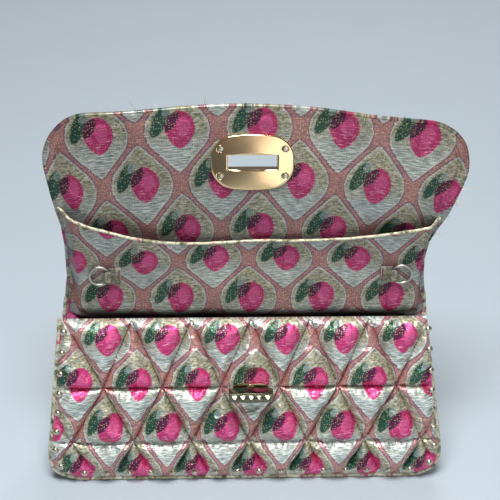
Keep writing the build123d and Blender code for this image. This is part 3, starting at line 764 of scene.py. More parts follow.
def woven_brocade(name, sizes, tone):
    """Jacquard brocade with metal yarn: a pink ogee trellis round a fruit and leaf on a silvery ground.

    The metal yarn gives it hard small sparks, painted into its colour as glints, and streaks along the weft;
    the colours change from thread to thread, so that each woven shape has a ragged edge.
    """
    material, tree, surface = new_material(name)
    width, height = sizes.repeat_width / MM, sizes.repeat_height / MM
    place = add_node(tree, "ShaderNodeUVMap", uv_map="cloth")
    flat = add_node(
        tree, "ShaderNodeVectorMath", {0: place.outputs[0], 1: (CLOTH_UNIT,) * 3}, operation="MULTIPLY",
    )
    # Millimetres across and up of the yarn's marks, coarser than the real yarn so that they show, and their
    # detail; spots are the ends of metal yarn that come to the face, about 1.4 mm apart
    marks = {
        "weft": (6.0, 0.75, 2.0),
        "mottle": (2.6, 1.7, 3.0),
        "glint": (1.5, 0.7, 1.0),
        "tone": (25, 25, 2.0),
        "spots": (1.55, 1.2, None),
    }
    known = {}
    for mark, (across, up, detail) in marks.items():
        spread = add_node(
            tree, "ShaderNodeVectorMath", {0: flat.outputs[0], 1: (1 / across, 1 / up, 1)},
            operation="MULTIPLY",
        )
        links = {"Vector": spread.outputs[0], "Scale": 1.0}
        if detail is None:
            spots = add_node(tree, "ShaderNodeTexVoronoi", links, voronoi_dimensions="2D")
        else:
            known[mark] = add_node(tree, "ShaderNodeTexNoise", links | {"Detail": detail}).outputs[0]
    pick = add_node(tree, "ShaderNodeSeparateColor", {0: spots.outputs["Color"]})
    split = add_node(tree, "ShaderNodeSeparateXYZ", {0: flat.outputs[0]})
    known |= {
        "x": split.outputs[0],
        "y": split.outputs[1],
        "spot_gap": spots.outputs["Distance"],
        "spot_pick": pick.outputs[0],
    }

    faded = {
        "lattice", "outline", "edging", "gold_zone", "blotch", "sheen", "dash", "lower", "berry_dash",
        "spot", "fleck", *brocade_motifs(),
    }
    for result, operation, *values in trellis_steps(width, height) + motif_steps() + yarn_steps():
        links = {number: known.get(value, value) for number, value in enumerate(values)}
        node = add_node(tree, "ShaderNodeMath", links, operation=operation, use_clamp=result in faded)
        known[result] = node.outputs[0]

    # The ground: silver yarn with a sheen, and blotched gold yarn in its zone
    grounds = {"sheen": ("#9FAAA4", "#DDE3DD"), "blotch": ("#88826A", "#CDC9AF")}
    silver, gold = (
        add_node(tree, "ShaderNodeMix", {0: known[share], 6: linear(dark), 7: linear(pale)}, data_type="RGBA")
        for share, (dark, pale) in grounds.items()
    )
    colour = add_node(
        tree, "ShaderNodeMix", {0: known["gold_zone"], 6: silver.outputs[2], 7: gold.outputs[2]},
        data_type="RGBA",
    ).outputs[2]
    # Each layer over the last: its colour and how much it covers
    layers = (
        ("edging", "#DBDED0", 0.75),
        ("dash", "#EBF0EE", 0.6),
        ("outline", "#8C5D7C", 0.95),
        ("lattice", "#B97F7F", 1.0),
        ("lattice_fleck", "#DCC3A0", 0.7),
        ("leaf", "#2A5546", 1.0),
        ("leaf_light", "#AEBDB8", 0.55),
        ("berry", "#CB3876", 1.0),
        ("berry_light", "#E9639B", 0.7),
        ("berry_dash_in", "#F3CBDB", 0.85),
        ("cap_on_berry", "#5B1D42", 1.0),
    )
    # Dark specks of yarn, and pale dots painted as glints, fainter on the darker copy
    specks_and_glints = (("speck", "#2E2A24", 0.45), ("painted_glint", "#E8D9A8", 0.75 * min(tone, 1)))
    # Threads and slow patches change the tone of every colour but the specks and glints; tone scales it all,
    # as painted light above 1 and painted shade below 1
    shades = (("weft", 0.74, 1.18), ("tone", 0.88 * tone, 1.08 * tone))
    for group in (layers, shades, specks_and_glints):
        for share, first, second in group:
            if group is shades:
                links = {"Value": known[share], "From Min": 0.3, "From Max": 0.7}
                links |= {"To Min": first, "To Max": second}
                shade = add_node(tree, "ShaderNodeMapRange", links)
                links, kind = {0: 1.0, 6: colour, 7: shade.outputs[0]}, "MULTIPLY"
            else:
                part = add_node(tree, "ShaderNodeMath", {0: known[share], 1: second}, operation="MULTIPLY")
                links, kind = {0: part.outputs[0], 6: colour, 7: linear(first)}, "MIX"
            colour = add_node(tree, "ShaderNodeMix", links, data_type="RGBA", blend_type=kind).outputs[2]
    # Where a metal yarn glints it is smoother and more of a metal
    gloss, metal = (
        add_node(
            tree, "ShaderNodeMapRange",
            {"Value": known["glint"], "From Min": 0.35, "From Max": most, "To Min": first, "To Max": second},
        )
        for most, first, second in ((0.7, 0.52, 0.28), (0.65, 0.25, 0.7))
    )
    ridges = add_node(
        tree, "ShaderNodeMath", {0: known["glint"], 1: 0.6, 2: known["weft"]}, operation="MULTIPLY_ADD",
    )
    # Ridges of the weft, drawn 0.3 mm high so that they catch the light at this distance
    bump = add_node(
        tree, "ShaderNodeBump", {"Strength": 0.6, "Distance": 0.3 * MM, "Height": ridges.outputs[0]},
    )
    shader = add_node(
        tree, "ShaderNodeBsdfPrincipled",
        {"Base Color": colour, "Metallic": metal.outputs[0], "Roughness": gloss.outputs[0],
         "Normal": bump.outputs[0]},
    )
    tree.links.new(shader.outputs[0], surface)
    return material


def bias_brocade(name):
    """The same brocade cut on the bias and wrapped round a cord: pale, with slanting bands of colour."""
    material, tree, surface = new_material(name)
    place = add_node(tree, "ShaderNodeUVMap", uv_map="cloth")
    # Bands about 5 mm apart that slant round the cord, and yarn ribs 0.8 mm apart
    bands, ribs = (
        add_node(
            tree, "ShaderNodeVectorMath",
            {0: place.outputs[0], 1: (CLOTH_UNIT / apart, CLOTH_UNIT / apart, 1)}, operation="MULTIPLY",
        )
        for apart in (5, 0.8)
    )
    mottle = add_node(
        tree, "ShaderNodeTexNoise",
        {"Vector": bands.outputs[0], "Scale": 1.0, "Detail": 2.0, "Distortion": 0.6},
    )
    ramp = add_node(tree, "ShaderNodeValToRGB", {0: mottle.outputs[0]})
    stops = ((0.3, "#4E5C48"), (0.42, "#A39C78"), (0.52, "#DAD6C0"), (0.6, "#CDBFA4"), (0.68, "#B9587A"))
    marked = ramp.color_ramp.elements
    for number, (position, hex_colour) in enumerate(stops):
        stop = marked[number] if number < len(marked) else marked.new(position)
        stop.position, stop.color = position, linear(hex_colour)
    rib = add_node(tree, "ShaderNodeTexNoise", {"Vector": ribs.outputs[0], "Scale": 1.0, "Detail": 1.0})
    bump = add_node(
        tree, "ShaderNodeBump", {"Strength": 0.6, "Distance": 0.3 * MM, "Height": rib.outputs[0]},
    )
    shader = add_node(
        tree, "ShaderNodeBsdfPrincipled",
        {"Base Color": ramp.outputs[0], "Metallic": 0.3, "Roughness": 0.46, "Normal": bump.outputs[0]},
    )
    tree.links.new(shader.outputs[0], surface)
    return material


def plated_metal(name, hex_colour, worn_colour, roughness, scratch):
    """Polished and plated cast metal: a near mirror with fine rubbing marks and duller patches."""
    material, tree, surface = new_material(name)
    place = add_node(tree, "ShaderNodeTexCoord")
    # Rubbing marks 0.4 mm wide and patches 12 mm across
    marks, patches = (
        add_node(
            tree, "ShaderNodeTexNoise",
            {"Vector": place.outputs["Object"], "Scale": 1 / (size * MM), "Detail": 3.0},
        )
        for size in (0.4, 12)
    )
    colour = add_node(
        tree, "ShaderNodeMix",
        {0: patches.outputs[0], 6: linear(hex_colour), 7: linear(worn_colour)}, data_type="RGBA",
    )
    gloss = add_node(
        tree, "ShaderNodeMapRange",
        {"Value": marks.outputs[0], "From Min": 0.3, "From Max": 0.75, "To Min": roughness,
         "To Max": roughness + scratch},
    )
    bump = add_node(
        tree, "ShaderNodeBump", {"Strength": scratch, "Distance": 0.02 * MM, "Height": marks.outputs[0]},
    )
    shader = add_node(
        tree, "ShaderNodeBsdfPrincipled",
        {"Base Color": colour.outputs[2], "Metallic": 1.0, "Roughness": gloss.outputs[0],
         "Normal": bump.outputs[0]},
    )
    tree.links.new(shader.outputs[0], surface)
    return material


def spun_thread(name, hex_colour, other_colour):
    """Sewing or metal thread: a soft sheen that changes in tone along its length."""
    material, tree, surface = new_material(name)
    place = add_node(tree, "ShaderNodeTexCoord")
    # Change of tone every 3 mm
    change = add_node(
        tree, "ShaderNodeTexNoise",
        {"Vector": place.outputs["Object"], "Scale": 1 / (3 * MM), "Detail": 1.0},
    )
    colour = add_node(
        tree, "ShaderNodeMix",
        {0: change.outputs[0], 6: linear(hex_colour), 7: linear(other_colour)}, data_type="RGBA",
    )
    shader = add_node(
        tree, "ShaderNodeBsdfPrincipled",
        {"Base Color": colour.outputs[2], "Metallic": 0.4, "Roughness": 0.45},
    )
    tree.links.new(shader.outputs[0], surface)
    return material


def painted_floor(colour):
    """Matt painted board: no highlight, and very slightly mottled."""
    material, tree, surface = new_material("painted_floor")
    place = add_node(tree, "ShaderNodeTexCoord")
    # Mottle about 60 mm across
    mottle = add_node(
        tree, "ShaderNodeTexNoise",
        {"Vector": place.outputs["Object"], "Scale": 1 / (60 * MM), "Detail": 3.0},
    )
    tint = add_node(
        tree, "ShaderNodeMix",
        {0: mottle.outputs[0], 6: (*[0.97 * part for part in colour], 1), 7: (*colour, 1)}, data_type="RGBA",
    )
    shader = add_node(
        tree, "ShaderNodeBsdfPrincipled", {"Base Color": tint.outputs[2], "Roughness": 0.75},
    )
    tree.links.new(shader.outputs[0], surface)
    return material


# Each metal's colour, its colour in duller patches, its roughness and what rubbing adds to that
METALS = {
    # Gold plating polished on a cast plate: a warm near mirror
    "polished_gold_plating": ("#F2D3A6", "#E6C08E", 0.07, 0.1),
    # Pale gold plating on pressed studs: small sharp highlights on a soft dome
    "pale_gold_studs": ("#D6CFBC", "#B4AC98", 0.18, 0.22),
    # Nickel plating on a polished cast bar: mirrors the cloth, and rubbing breaks the lamps into glints
    "polished_nickel": ("#8E8A78", "#5E5A4A", 0.07, 0.22),
    # Thin pale nickel plating on a pressed base: brighter, with a yellow cast from the metal below
    "pale_nickel": ("#B9B08C", "#9A9274", 0.14, 0.12),
    # Nickel plating on drawn wire: a soft white line round the ring
    "nickel_wire": ("#C6C3BA", "#9F9B92", 0.34, 0.12),
    # Turned steel screws: grey, with duller slots
    "screw_steel": ("#CFC9BC", "#A59C8A", 0.14, 0.2),
}
# Each thread's colour and the colour that it changes to
THREADS = {
    # Mercerised sewing cotton: a thin dark line in the grooves
    "dark_red_thread": ("#6B1F33", "#9A3B4E"),
    # Frayed ends of the brocade's metal yarn: fine bright hairs
    "metal_yarn": ("#B39C62", "#D6C892"),
}


def finish_named(name, make, *values):
    """The material of that name, made once."""
    return bpy.data.materials.get(name) or make(name, *values)


def metal_named(name):
    """A plated metal, made once."""
    return finish_named(name, plated_metal, *METALS[name])


def thread_named(name):
    """A thread, made once."""
    return finish_named(name, spun_thread, *THREADS[name])


def brocade(sizes):
    """The brocade where it is padded, with its colours made brighter as painted light."""
    return finish_named("woven_brocade", woven_brocade, sizes, 1.12)


def shaded_lining(sizes):
    """The same cloth inside the flap, where it lies flat, with its colours darkened to about half as painted
    shade.
    """
    return finish_named("lining_brocade", woven_brocade, sizes, 0.52)


def cord_cover():
    """The brocade that covers the cords and binds the pocket."""
    return finish_named("bias_brocade", bias_brocade)


def settle(piece, material, slot, *nodes, body="bag"):
    """Gives a piece its material, its body and the frame nodes that it stands for."""
    piece.data.materials.clear()
    piece.data.materials.append(material)
    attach(piece, body)
    if nodes:
        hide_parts(*nodes)


# Cloth panels

def front_profile():
    """The front's folded line."""
    return soft_profile(FRONT_LINE, FRONT_SOFTEN)


def back_profile():
    """The folded line of the back and flap."""
    return soft_profile(BACK_LINE, BACK_SOFTEN)


def front_quilt_rows():
    """Rows of the front as (start, end, low, high, share), in lengths along its profile."""
    rows, start, share = [], 0, 0.5
    for number, (length, _) in enumerate(FRONT_ROWS):
        low = length - HEM_CELL if number == 0 else start
        rows.append((start, start + length, low, start + length, share))
        start += length
        share = 0.5 - share
    return rows


def back_quilt_rows(profile):
    """Rows of the back wall and the flap's outside."""
    rows, share = [], 0.5
    ends = [length_at(profile, z) for _, z in BACK_LINE]
    for start, end, count in zip(ends, ends[1:], BACK_ROWS):
        for row in range(count):
            low, high = (start + (end - start) * step / count for step in (row, row + 1))
            rows.append((low, high, low, high, share))
            share = 0.5 - share
    return rows


def cloth_places(x, s, middle, across=1.0, up=1.0):
    """Places on the flat cloth from x and the length s, with a cell's middle and the take-up each way."""
    return np.stack([(x - middle[0]) * across, (s - middle[1]) * up], -1)


def make_front_panel(sizes):
    """Quilted front: padded triangles between stitch lines, an edge for studs and a seat for the lock."""
    profile = front_profile()
    low = wall_path(0, MOUTH_Z, QUILT_STEP, ends=False)
    high = np.array([(-half_width(MOUTH_Z), MOUTH_Z), (half_width(MOUTH_Z), MOUTH_Z)])
    flat = ruled_grid(low, high, int((MOUTH_Z - SEAM_HEIGHT) / QUILT_STEP))
    s = length_at(profile, flat[..., 1])
    # The edge runs on past the mouth, so that the mouth itself is no border
    border = edge_distance(flat, wall_path(0, MOUTH_Z + 20, FINE_STEP))
    rows = front_quilt_rows()
    studs = stud_places(wall_path(STUD_INSET, MOUTH_Z, STUD_STEP))
    x, along, lift = quilted(flat, s, rows, border, studs, sizes, seed=1)
    from_lock = np.hypot(flat[..., 0], flat[..., 1] - FRONT_LINE[2][1])
    seat = smooth_step((LOCK_SEAT_RADIUS + 5 - from_lock) / 6)
    lift = lift * (1 - seat) + LOCK_SEAT_RISE * seat
    shifted = np.stack([x, height_at(profile, along)], -1)
    outer = stand_up(shifted, profile, lift)
    inner = stand_up(flat, profile, -FRONT_SHEET)
    # Cloth that goes over the pads' top edge is longer than the edge is high
    rolled = np.linalg.norm(np.diff(outer, axis=0), axis=-1) - np.abs(np.diff(s, axis=0))
    rolled = np.maximum(rolled, 0) * (s[1:] > s.max() - 12)
    spare = np.concatenate([np.zeros((1, s.shape[1])), np.cumsum(rolled, 0)])
    for face in (outer, inner):
        hang_front(face, flat[..., 0], flat[..., 1])
    # The stitching takes up cloth beside its lines, so the woven shapes keep their width
    pitch, repeat_height = QUILT_PITCH, sizes.repeat_height / MM
    woven = s + spare + 4 * smooth_step((s - 84) / 30)
    across = flat[..., 0] + front_pull(flat[..., 0], flat[..., 1])[0]
    cloth = cloth_places(across, woven, FRONT_CELL, sizes.repeat_width / MM / pitch)
    gather = np.sin(2 * pi * (across - FRONT_CELL[0]) / pitch)
    gather = gather * np.cos(2 * pi * (woven - FRONT_CELL[1]) / repeat_height)
    cloth[..., 0] -= 1.6 * gather
    piece = sheet_piece("quilted_front", outer, inner, cloth)
    settle(piece, brocade(sizes), "brocade", "front_panel")

    dashes = stitch_dashes(rows, BASE_WIDTH / 2)
    x, s = dashes.mean(1).T
    z = height_at(profile, s)
    from_lock = np.hypot(x, z - FRONT_LINE[2][1])
    from_edge = np.minimum(half_width(z) - np.abs(x), z - SEAM_HEIGHT)
    shown = (from_lock > LOCK_SEAT_RADIUS + 3) & (from_edge > STITCH_BORDER) & (z < MOUTH_Z - 1)
    stitches = mesh_piece("front_stitches", *stitch_parts(dashes[shown], profile, 0, 1, hang_front))
    settle(stitches, thread_named("dark_red_thread"), "piping_brocade")


def flap_grids():
    """Grid of the back wall and flap, as (x, z), from the bottom seam to the flap's end."""
    fold = np.array([(-NECK_WIDTH / 2, FOLD_Z), (NECK_WIDTH / 2, FOLD_Z)])
    end = flap_path(0, ends=False)
    wall = ruled_grid(resampled(wall_path(0, FOLD_Z, ends=False), len(end)), fold, rows=90)
    flap = ruled_grid(fold, end, rows=105)
    return np.concatenate([wall[:-1], flap])


def flap_places(x, z):
    """Places on the flat cloth of the back and flap: it spreads to the flap's end and sags at its sides."""
    profile = back_profile()
    s, slot_s = length_at(profile, z), length_at(profile, SLOT_PLACE[1])
    # The woven rows drop by 11 mm at the right and 6.5 mm at the left, near the sides
    sag = np.where(x > 0, 11 * (x / 115) ** 2, 6.5 * (x / 100) ** 2) * smooth_step((z - FOLD_Z) / 60)
    return cloth_places(x, s + sag, (4.3, slot_s + 22), 1 / (1 + (s - slot_s) / 700))


def plate_gap(x, z):
    """How far points of the flap are outside the slot plates' box."""
    return np.maximum(np.abs(x) - PLATE_WIDTH / 2, np.abs(z - SLOT_PLACE[1]) - PLATE_HEIGHT / 2)


def make_back_and_flap(sizes):
    """Back wall and flap in one sheet: plain inside, quilted outside, cut out for the slot plates."""
    profile = back_profile()
    flat = flap_grids()
    x, z = flat[..., 0], flat[..., 1]
    s = length_at(profile, z)
    edges = wall_path(0, FOLD_Z, FINE_STEP), flap_path(0, FINE_STEP)
    border = np.minimum(*(edge_distance(flat, edge) for edge in edges))
    rows = back_quilt_rows(profile)
    studs = stud_places(flap_path(STUD_INSET, STUD_STEP))
    pad_x, along, lift = quilted(flat, s, rows, border, studs, sizes, seed=21)
    from_slot = plate_gap(x, z)
    lift *= smooth_step((from_slot - 1) / 4)
    hem = -0.7 * np.exp(-(((border - 4.5) / 1.3) ** 2)) * (z > FOLD_Z)
    places = np.stack([x, s], -1)
    ripple = 0.9 * roughened(places, 26, 31) + 0.35 * roughened(places, 9, 32)
    ripple = (ripple * smooth_step((from_slot - 2) / 12) + hem) * smooth_step(border / 3)
    inner = stand_up(flat, profile, ripple)
    outer = stand_up(np.stack([pad_x, height_at(profile, along)], -1), profile, -BACK_SHEET - lift)
    for face in (inner, outer):
        hang(face, x, z)
    # The cloth is cut out round the plates' sleeve
    keep_x, keep_s = SLOT_LENGTH / 2 + 3, SLOT_HEIGHT / 2 + 2.6
    slot_s = length_at(profile, SLOT_PLACE[1])
    middle_x, middle_s = ((grid[:-1, :-1] + grid[1:, 1:]) / 2 for grid in (x, s))
    keep = (np.abs(middle_x) > keep_x) | (np.abs(middle_s - slot_s) > keep_s)
    piece = sheet_piece("back_and_flap_cloth", inner, outer, flap_places(x, z), keep)
    settle(piece, brocade(sizes), "brocade", "back_and_flap")
    # The flap's inside takes the copy darkened as painted shade
    piece.data.materials.append(shaded_lining(sizes))
    for face in piece.data.polygons[: int(keep.sum())]:
        face.material_index = 1

    dashes = stitch_dashes(rows, FLAP_RIGHT)
    x, s = dashes.mean(1).T
    z = height_at(profile, s)
    shown = edge_distance(np.stack([x, z], -1)[None], np.concatenate(edges))[0] > STITCH_BORDER
    shown &= np.abs(x) < np.where(z < FOLD_Z, half_width(z), flap_half(z))
    shown &= (z < FLAP_TOP - FLAP_DROPS[0]) & (plate_gap(x, z) > 2)
    stitches = mesh_piece("back_stitches", *stitch_parts(dashes[shown], profile, -BACK_SHEET, -1, hang))
    settle(stitches, thread_named("dark_red_thread"), "piping_brocade")


def make_gusset(sizes):
    """Side and bottom strip, folded inwards at the sides and flat where it stands."""
    outside = wall_path(0, CREASE_LEVELS[-1][0])
    inside = resampled(wall_path(GUSSET_SHEET, CREASE_LEVELS[-1][0]), len(outside))
    front, back = front_profile(), back_profile()
    share = np.linspace(0, 1, 32)
    faces = []
    for path in (outside, inside):
        x, z = (np.repeat(path[:, axis : axis + 1], len(share), 1) for axis in (0, 1))
        level = outside[:, 1:2]
        front_y = depth_at(front, level) + FRONT_SHEET
        back_y = depth_at(back, level)
        y = front_y + (back_y - front_y) * share
        fold = np.interp(level, *zip(*CREASE_LEVELS), left=0) * (1 - np.abs(2 * share - 1) ** 1.25)
        soft = 0.8 * roughened(np.stack([z, y * 2], -1), 14, 51) * np.sin(pi * share)
        x = x - np.sign(x) * (fold + soft * (level > CREASE_LEVELS[0][0]))
        from_edge = np.minimum(y - front_y, back_y - y)
        sole = smooth_step(from_edge / SOLE_INSET) * smooth_step((SEAM_HEIGHT + 3 - level) / 3)
        z = z - SEAM_HEIGHT * sole
        across, rolled = front_pull(outside[:, :1], level)
        x = x + across * (1 - share) + edge_pull(outside[:, :1], level) * share
        y = y + rolled * (1 - share) + lean_of_flap(outside[:, :1], level) * share
        faces.append(np.stack([x, y, z], -1))
    gone = np.arange(len(outside))[:, None] * GRID_STEP
    cloth = [np.broadcast_to(places, fold.shape) for places in (share * BAG_DEPTH + 8, gone)]
    piece = sheet_piece("gusset_strip", *faces, np.stack(cloth, -1))
    settle(piece, brocade(sizes), "brocade", "gusset")


def pocket_levels():
    """Heights of the pocket's foot, tuck, bend, middle top and side top."""
    top = FOLD_Z + POCKET_HEIGHT
    return (FOLD_Z - POCKET_SEAM_DROP, FOLD_Z - POCKET_TUCK_DROP, FOLD_Z + POCKET_BEND_RISE, top,
            top + POCKET_SIDE_RISE)


def back_wall_y(z):
    """Where the back and flap's unrounded line stands at height z."""
    return np.interp(z, *zip(*[(level, y) for y, level in BACK_LINE]))


def pocket_face_y():
    """Where the front of the pocket stands above its bend."""
    return back_wall_y(pocket_levels()[3]) - POCKET_GAP - POCKET_SHEET


def pocket_profile():
    """The pocket's folded line: down the back wall, round the bulge over the mouth and up the flap."""
    foot, tuck, bend, _, side_top = pocket_levels()
    face = pocket_face_y()
    line = [
        (back_wall_y(foot) - POCKET_SHEET, foot),
        (back_wall_y(foot + POCKET_FLANGE) - POCKET_SHEET, foot + POCKET_FLANGE),
        (back_wall_y(tuck) - POCKET_TUCK_GAP - POCKET_SHEET, tuck),
        (face, bend),
        (face, side_top + 10),
    ]
    return soft_profile(line, POCKET_SOFTEN)


def pocket_half(z):
    """Half width of the pocket at height z."""
    foot, _, bend, _, side_top = pocket_levels()
    bag = POCKET_BAG_WIDTH / 2
    narrow, low = FOLD_Z - POCKET_NARROW_DROP, FOLD_Z - POCKET_WAIST_DROP
    waist, top = (flap_half(level) - POCKET_INSET for level in (bend, side_top))
    return np.interp(z, (foot, narrow, low, bend, side_top), (bag, bag, waist, waist, top))


def pocket_grid():
    """Points of the pocket as (x, z), with its sagging top edge, and each point's share of its half width."""
    foot, _, _, top, side_top = pocket_levels()
    across = np.linspace(-1, 1, 170)[None]
    up = np.linspace(0, 1, 86)[:, None]
    edge = top + (side_top - top) * np.abs(across) ** 2
    edge = edge + 1.2 * np.sin(across * 7 + 0.8) * (1 - across**2) + (1 - 5 * across) * across**4
    z = foot + up * (edge - foot)
    x = across * pocket_half(foot + up * (side_top - foot))
    return np.stack([x, z], -1), np.broadcast_to(np.abs(across), z.shape)


def pocket_shift(x, z):
    """How far the pocket moves back to the flap: nearly shut in the middle and sewn down at its sides."""
    _, _, bend, top, _ = pocket_levels()
    back = depth_at(back_profile(), z) + lean_of_flap(x, z)
    gap = np.maximum(back - pocket_face_y() - POCKET_SHEET, 0)
    rise = smooth_step((z - bend - 4) / (top - bend - 8))
    # Nearly shut in the middle and to its right, and open to its left
    shut = np.exp(-((x / 52) ** 2)) * 0.72 + 0.35 * np.exp(-(((x - 62) / 22) ** 2))
    gape = -1.6 * np.exp(-(((x + 72) / 20) ** 2)) * rise
    # The last 9 mm of each side go down to the seam, and 1 mm into the flap's cloth
    sewn = smooth_step((np.abs(x) - (pocket_half(z) - 9)) / 9) * smooth_step((z - bend + 6) / 10)
    away = np.maximum(np.minimum(shut, 0.8) * rise, 0) * gap + gape
    return away * (1 - sewn) + (gap + 1.0) * sewn


def make_pocket(sizes):
    """Slip pocket: a sheet that bulges over the mouth, sags along its top and gapes beside the middle."""
    profile = pocket_profile()
    flat, side = pocket_grid()
    x, z = flat[..., 0], flat[..., 1]
    s = length_at(profile, z)
    places = np.stack([x, s], -1)
    # Flat where the tabs are sewn on
    calm = 1 - np.exp(-(((np.abs(x) - RING_PLACE + 6) / 15) ** 2 + ((z - FOLD_Z - RING_HEIGHT) / 13) ** 2))
    _, tuck, bend, _, side_top = pocket_levels()
    # Bulge over the mouth and small wrinkles, which fade out at the sides
    bulge = 6 * np.exp(-(((z - tuck - 9) / 9) ** 2)) * (1 + 0.25 * roughened(places, 30, 61))
    wrinkle = 0.8 * roughened(places, 18, 62) + 0.35 * roughened(places, 7, 63)
    lift = (bulge + wrinkle * smooth_step((z - tuck) / 20)) * calm * smooth_step((1 - side) / 0.06)
    front = stand_up(flat, profile, lift)
    back = stand_up(flat, profile, lift - POCKET_SHEET * 0.6)
    move = pocket_shift(x, z)
    wide = np.sign(x) * 3 * smooth_step((side - 0.85) / 0.15) * smooth_step((z - bend) / 35)
    for face in (front, back):
        face[..., 0] += edge_pull(x, z) + wide
        face[..., 1] += move
    woven = s + 4 * smooth_step((z - bend - 6) / 25)
    cloth = cloth_places(x, woven, (-1.4, length_at(profile, bend) + 2), 1.1, 1.22)
    piece = sheet_piece("slip_pocket_cloth", front, back, cloth)
    settle(piece, shaded_lining(sizes), "brocade", "pocket_panel")
    edge = front[-1] * 0.5 + back[-1] * 0.5
    path = even_points(edge, CORD_STEP)
    radii = 1.0 + 0.12 * roughened(path, 6, 64)
    binding = mesh_piece("pocket_top_binding", *tube_parts(path, radii, sides=10))
    settle(binding, cord_cover(), "piping_brocade")


def piping_route(path, profile, thickness, move):
    """A seam's route from its (x, z) points, moved as the cloth beside it is."""
    route = stand_up(path, profile, -thickness / 2)
    move(route, path[:, 0], path[:, 1])
    return route


def make_piping(sizes):
    """Covered cord in the seams of the front, the back and the flap."""
    reach = -PIPING_RADIUS - SEAM_GAP
    back = back_profile()
    seams = {
        "front_piping": (wall_path(reach, MOUTH_Z, CORD_STEP), front_profile(), FRONT_SHEET, hang_front),
        "back_piping": (wall_path(reach, FOLD_Z, CORD_STEP), back, BACK_SHEET, hang),
        "flap_piping": (flap_path(-0.9, CORD_STEP), back, BACK_SHEET, hang),
    }
    for seed, (node, seam) in enumerate(seams.items(), start=71):
        route = piping_route(*seam)
        radii = PIPING_RADIUS * (1.04 + 0.09 * roughened(route, 5, seed))
        points, faces, corners = tube_parts(route, radii, CORD_SIDES)
        cover = cord_cover()
        if node == "flap_piping":
            # The flap's own cloth turns over its cord, so the woven shapes run on
            places = np.repeat(flap_places(*seam[0].T), CORD_SIDES, axis=0)
            corners = np.concatenate([places[face] for face in faces])
            cover = shaded_lining(sizes)
        piece = mesh_piece(node + "_cord", points, faces, corners)
        settle(piece, cover, "piping_brocade", node)


# Metal pieces

def turned_parts(profile, sides, origin, axis):
    """Points, faces and places of a turned form from (radius, height) pairs, closed on its axis."""
    turn = Vector((0, 0, 1)).rotation_difference(Vector(axis)).to_matrix()
    points = []
    for radius, height in profile:
        for step in range(sides):
            angle = 2 * pi * step / sides
            point = turn @ Vector((radius * cos(angle), radius * sin(angle), height))
            points.append(tuple(point + Vector(origin)))
    faces = grid_faces(len(profile), sides, around=True).tolist()
    faces.append(list(range(sides))[::-1])
    faces.append([(len(profile) - 1) * sides + step for step in range(sides)])
    corners = np.zeros((sum(len(face) for face in faces), 2))
    return np.array(points), faces, corners


def stud_profile():
    """A domed stud with a thin rim, as (radius, height)."""
    dome_radius = (STUD_RADIUS**2 + STUD_HEIGHT**2) / (2 * STUD_HEIGHT)
    rim = ((1, -0.6), (1.06, 0.0), (1.04, 0.22), (0.95, 0.3))
    profile = [(STUD_RADIUS * share, height) for share, height in rim]
    for height in (0.7, 1.1, 1.45, 1.75, 1.95, 2.07):
        radius = (dome_radius**2 - (height - STUD_HEIGHT + dome_radius) ** 2) ** 0.5
        profile.append((radius, height))
    return profile


def stud_places(path):
    """Places of the studs along a path."""
    count = round(lengths_along(path)[-1] / STUD_PITCH)
    return path[((np.arange(count) + 0.5) / count * (len(path) - 1)).astype(int)]


def make_studs():
    """Domed studs along the front's edge and the flap's outer edge."""
    rows = {
        "edge_studs": (wall_path(STUD_INSET, MOUTH_Z, STUD_STEP), front_profile(), 0, -1, hang_front),
        "flap_studs": (flap_path(STUD_INSET, STUD_STEP), back_profile(), -BACK_SHEET, 1, hang),
    }
    for node, (path, profile, offset, facing, move) in rows.items():
        parts = []
        for place in stud_places(path)[:, None]:
            rise = -facing * STUD_SEAT
            seat, above = (stand_up(place, profile, offset + rise - facing * lift)[0] for lift in (0, 1))
            for point in (seat, above):
                move(point, *place[0])
            parts.append(turned_parts(stud_profile(), sides=18, origin=seat, axis=above - seat))
        piece = mesh_piece(node + "_domes", *joined_parts(parts), angle=40)
        settle(piece, metal_named("pale_gold_studs"), "pale_gold_metal", node)


def make_rings(sizes):
    """Wire rings, each held by a stitched brocade tab."""
    face_y = pocket_face_y()
    ring_y, ring_z = face_y - (TAB_INSIDE + TAB_SHEET), FOLD_Z + RING_HEIGHT
    angles = np.linspace(0, 2 * pi, 73)[:-1]
    for side, hand in ((-1, "left"), (1, "right")):
        x, z = side * RING_PLACE + RING_RADIUS * np.cos(angles), ring_z + RING_RADIUS * np.sin(angles)
        path = np.stack([x, np.full_like(angles, ring_y), z], -1)
        ring = mesh_piece(f"wire_ring_{hand}", *ring_parts(path, RING_WIRE * WIRE_SCALE, sides=14))
        settle(ring, metal_named("nickel_wire"), "silver_metal", f"ring_{hand}", body=f"{hand}_ring")
        tab = make_tab(side, hand, face_y, ring_y, ring_z)
        settle(tab, shaded_lining(sizes), "brocade", f"ring_tab_{hand}")
        stitches = make_tab_stitches(side, hand, face_y, ring_z)
        settle(stitches, thread_named("dark_red_thread"), "piping_brocade")


def ring_parts(path, radius, sides):
    """Points, faces and places of a tube round a closed path."""
    ahead = np.roll(path, -1, 0) - np.roll(path, 1, 0)
    ahead /= np.linalg.norm(ahead, axis=1)[:, None]
    side = np.broadcast_to(np.array([0.0, 1.0, 0.0]), path.shape)
    over = np.cross(ahead, side)
    angles = np.arange(sides) * 2 * pi / sides
    around = np.cos(angles)[None, :, None] * side[:, None] + np.sin(angles)[None, :, None] * over[:, None]
    points = (path[:, None] + around * radius).reshape(-1, 3)
    faces = grid_faces(len(path), sides, around=True, closed=True)
    return points, faces.tolist(), np.zeros((len(faces) * 4, 2))


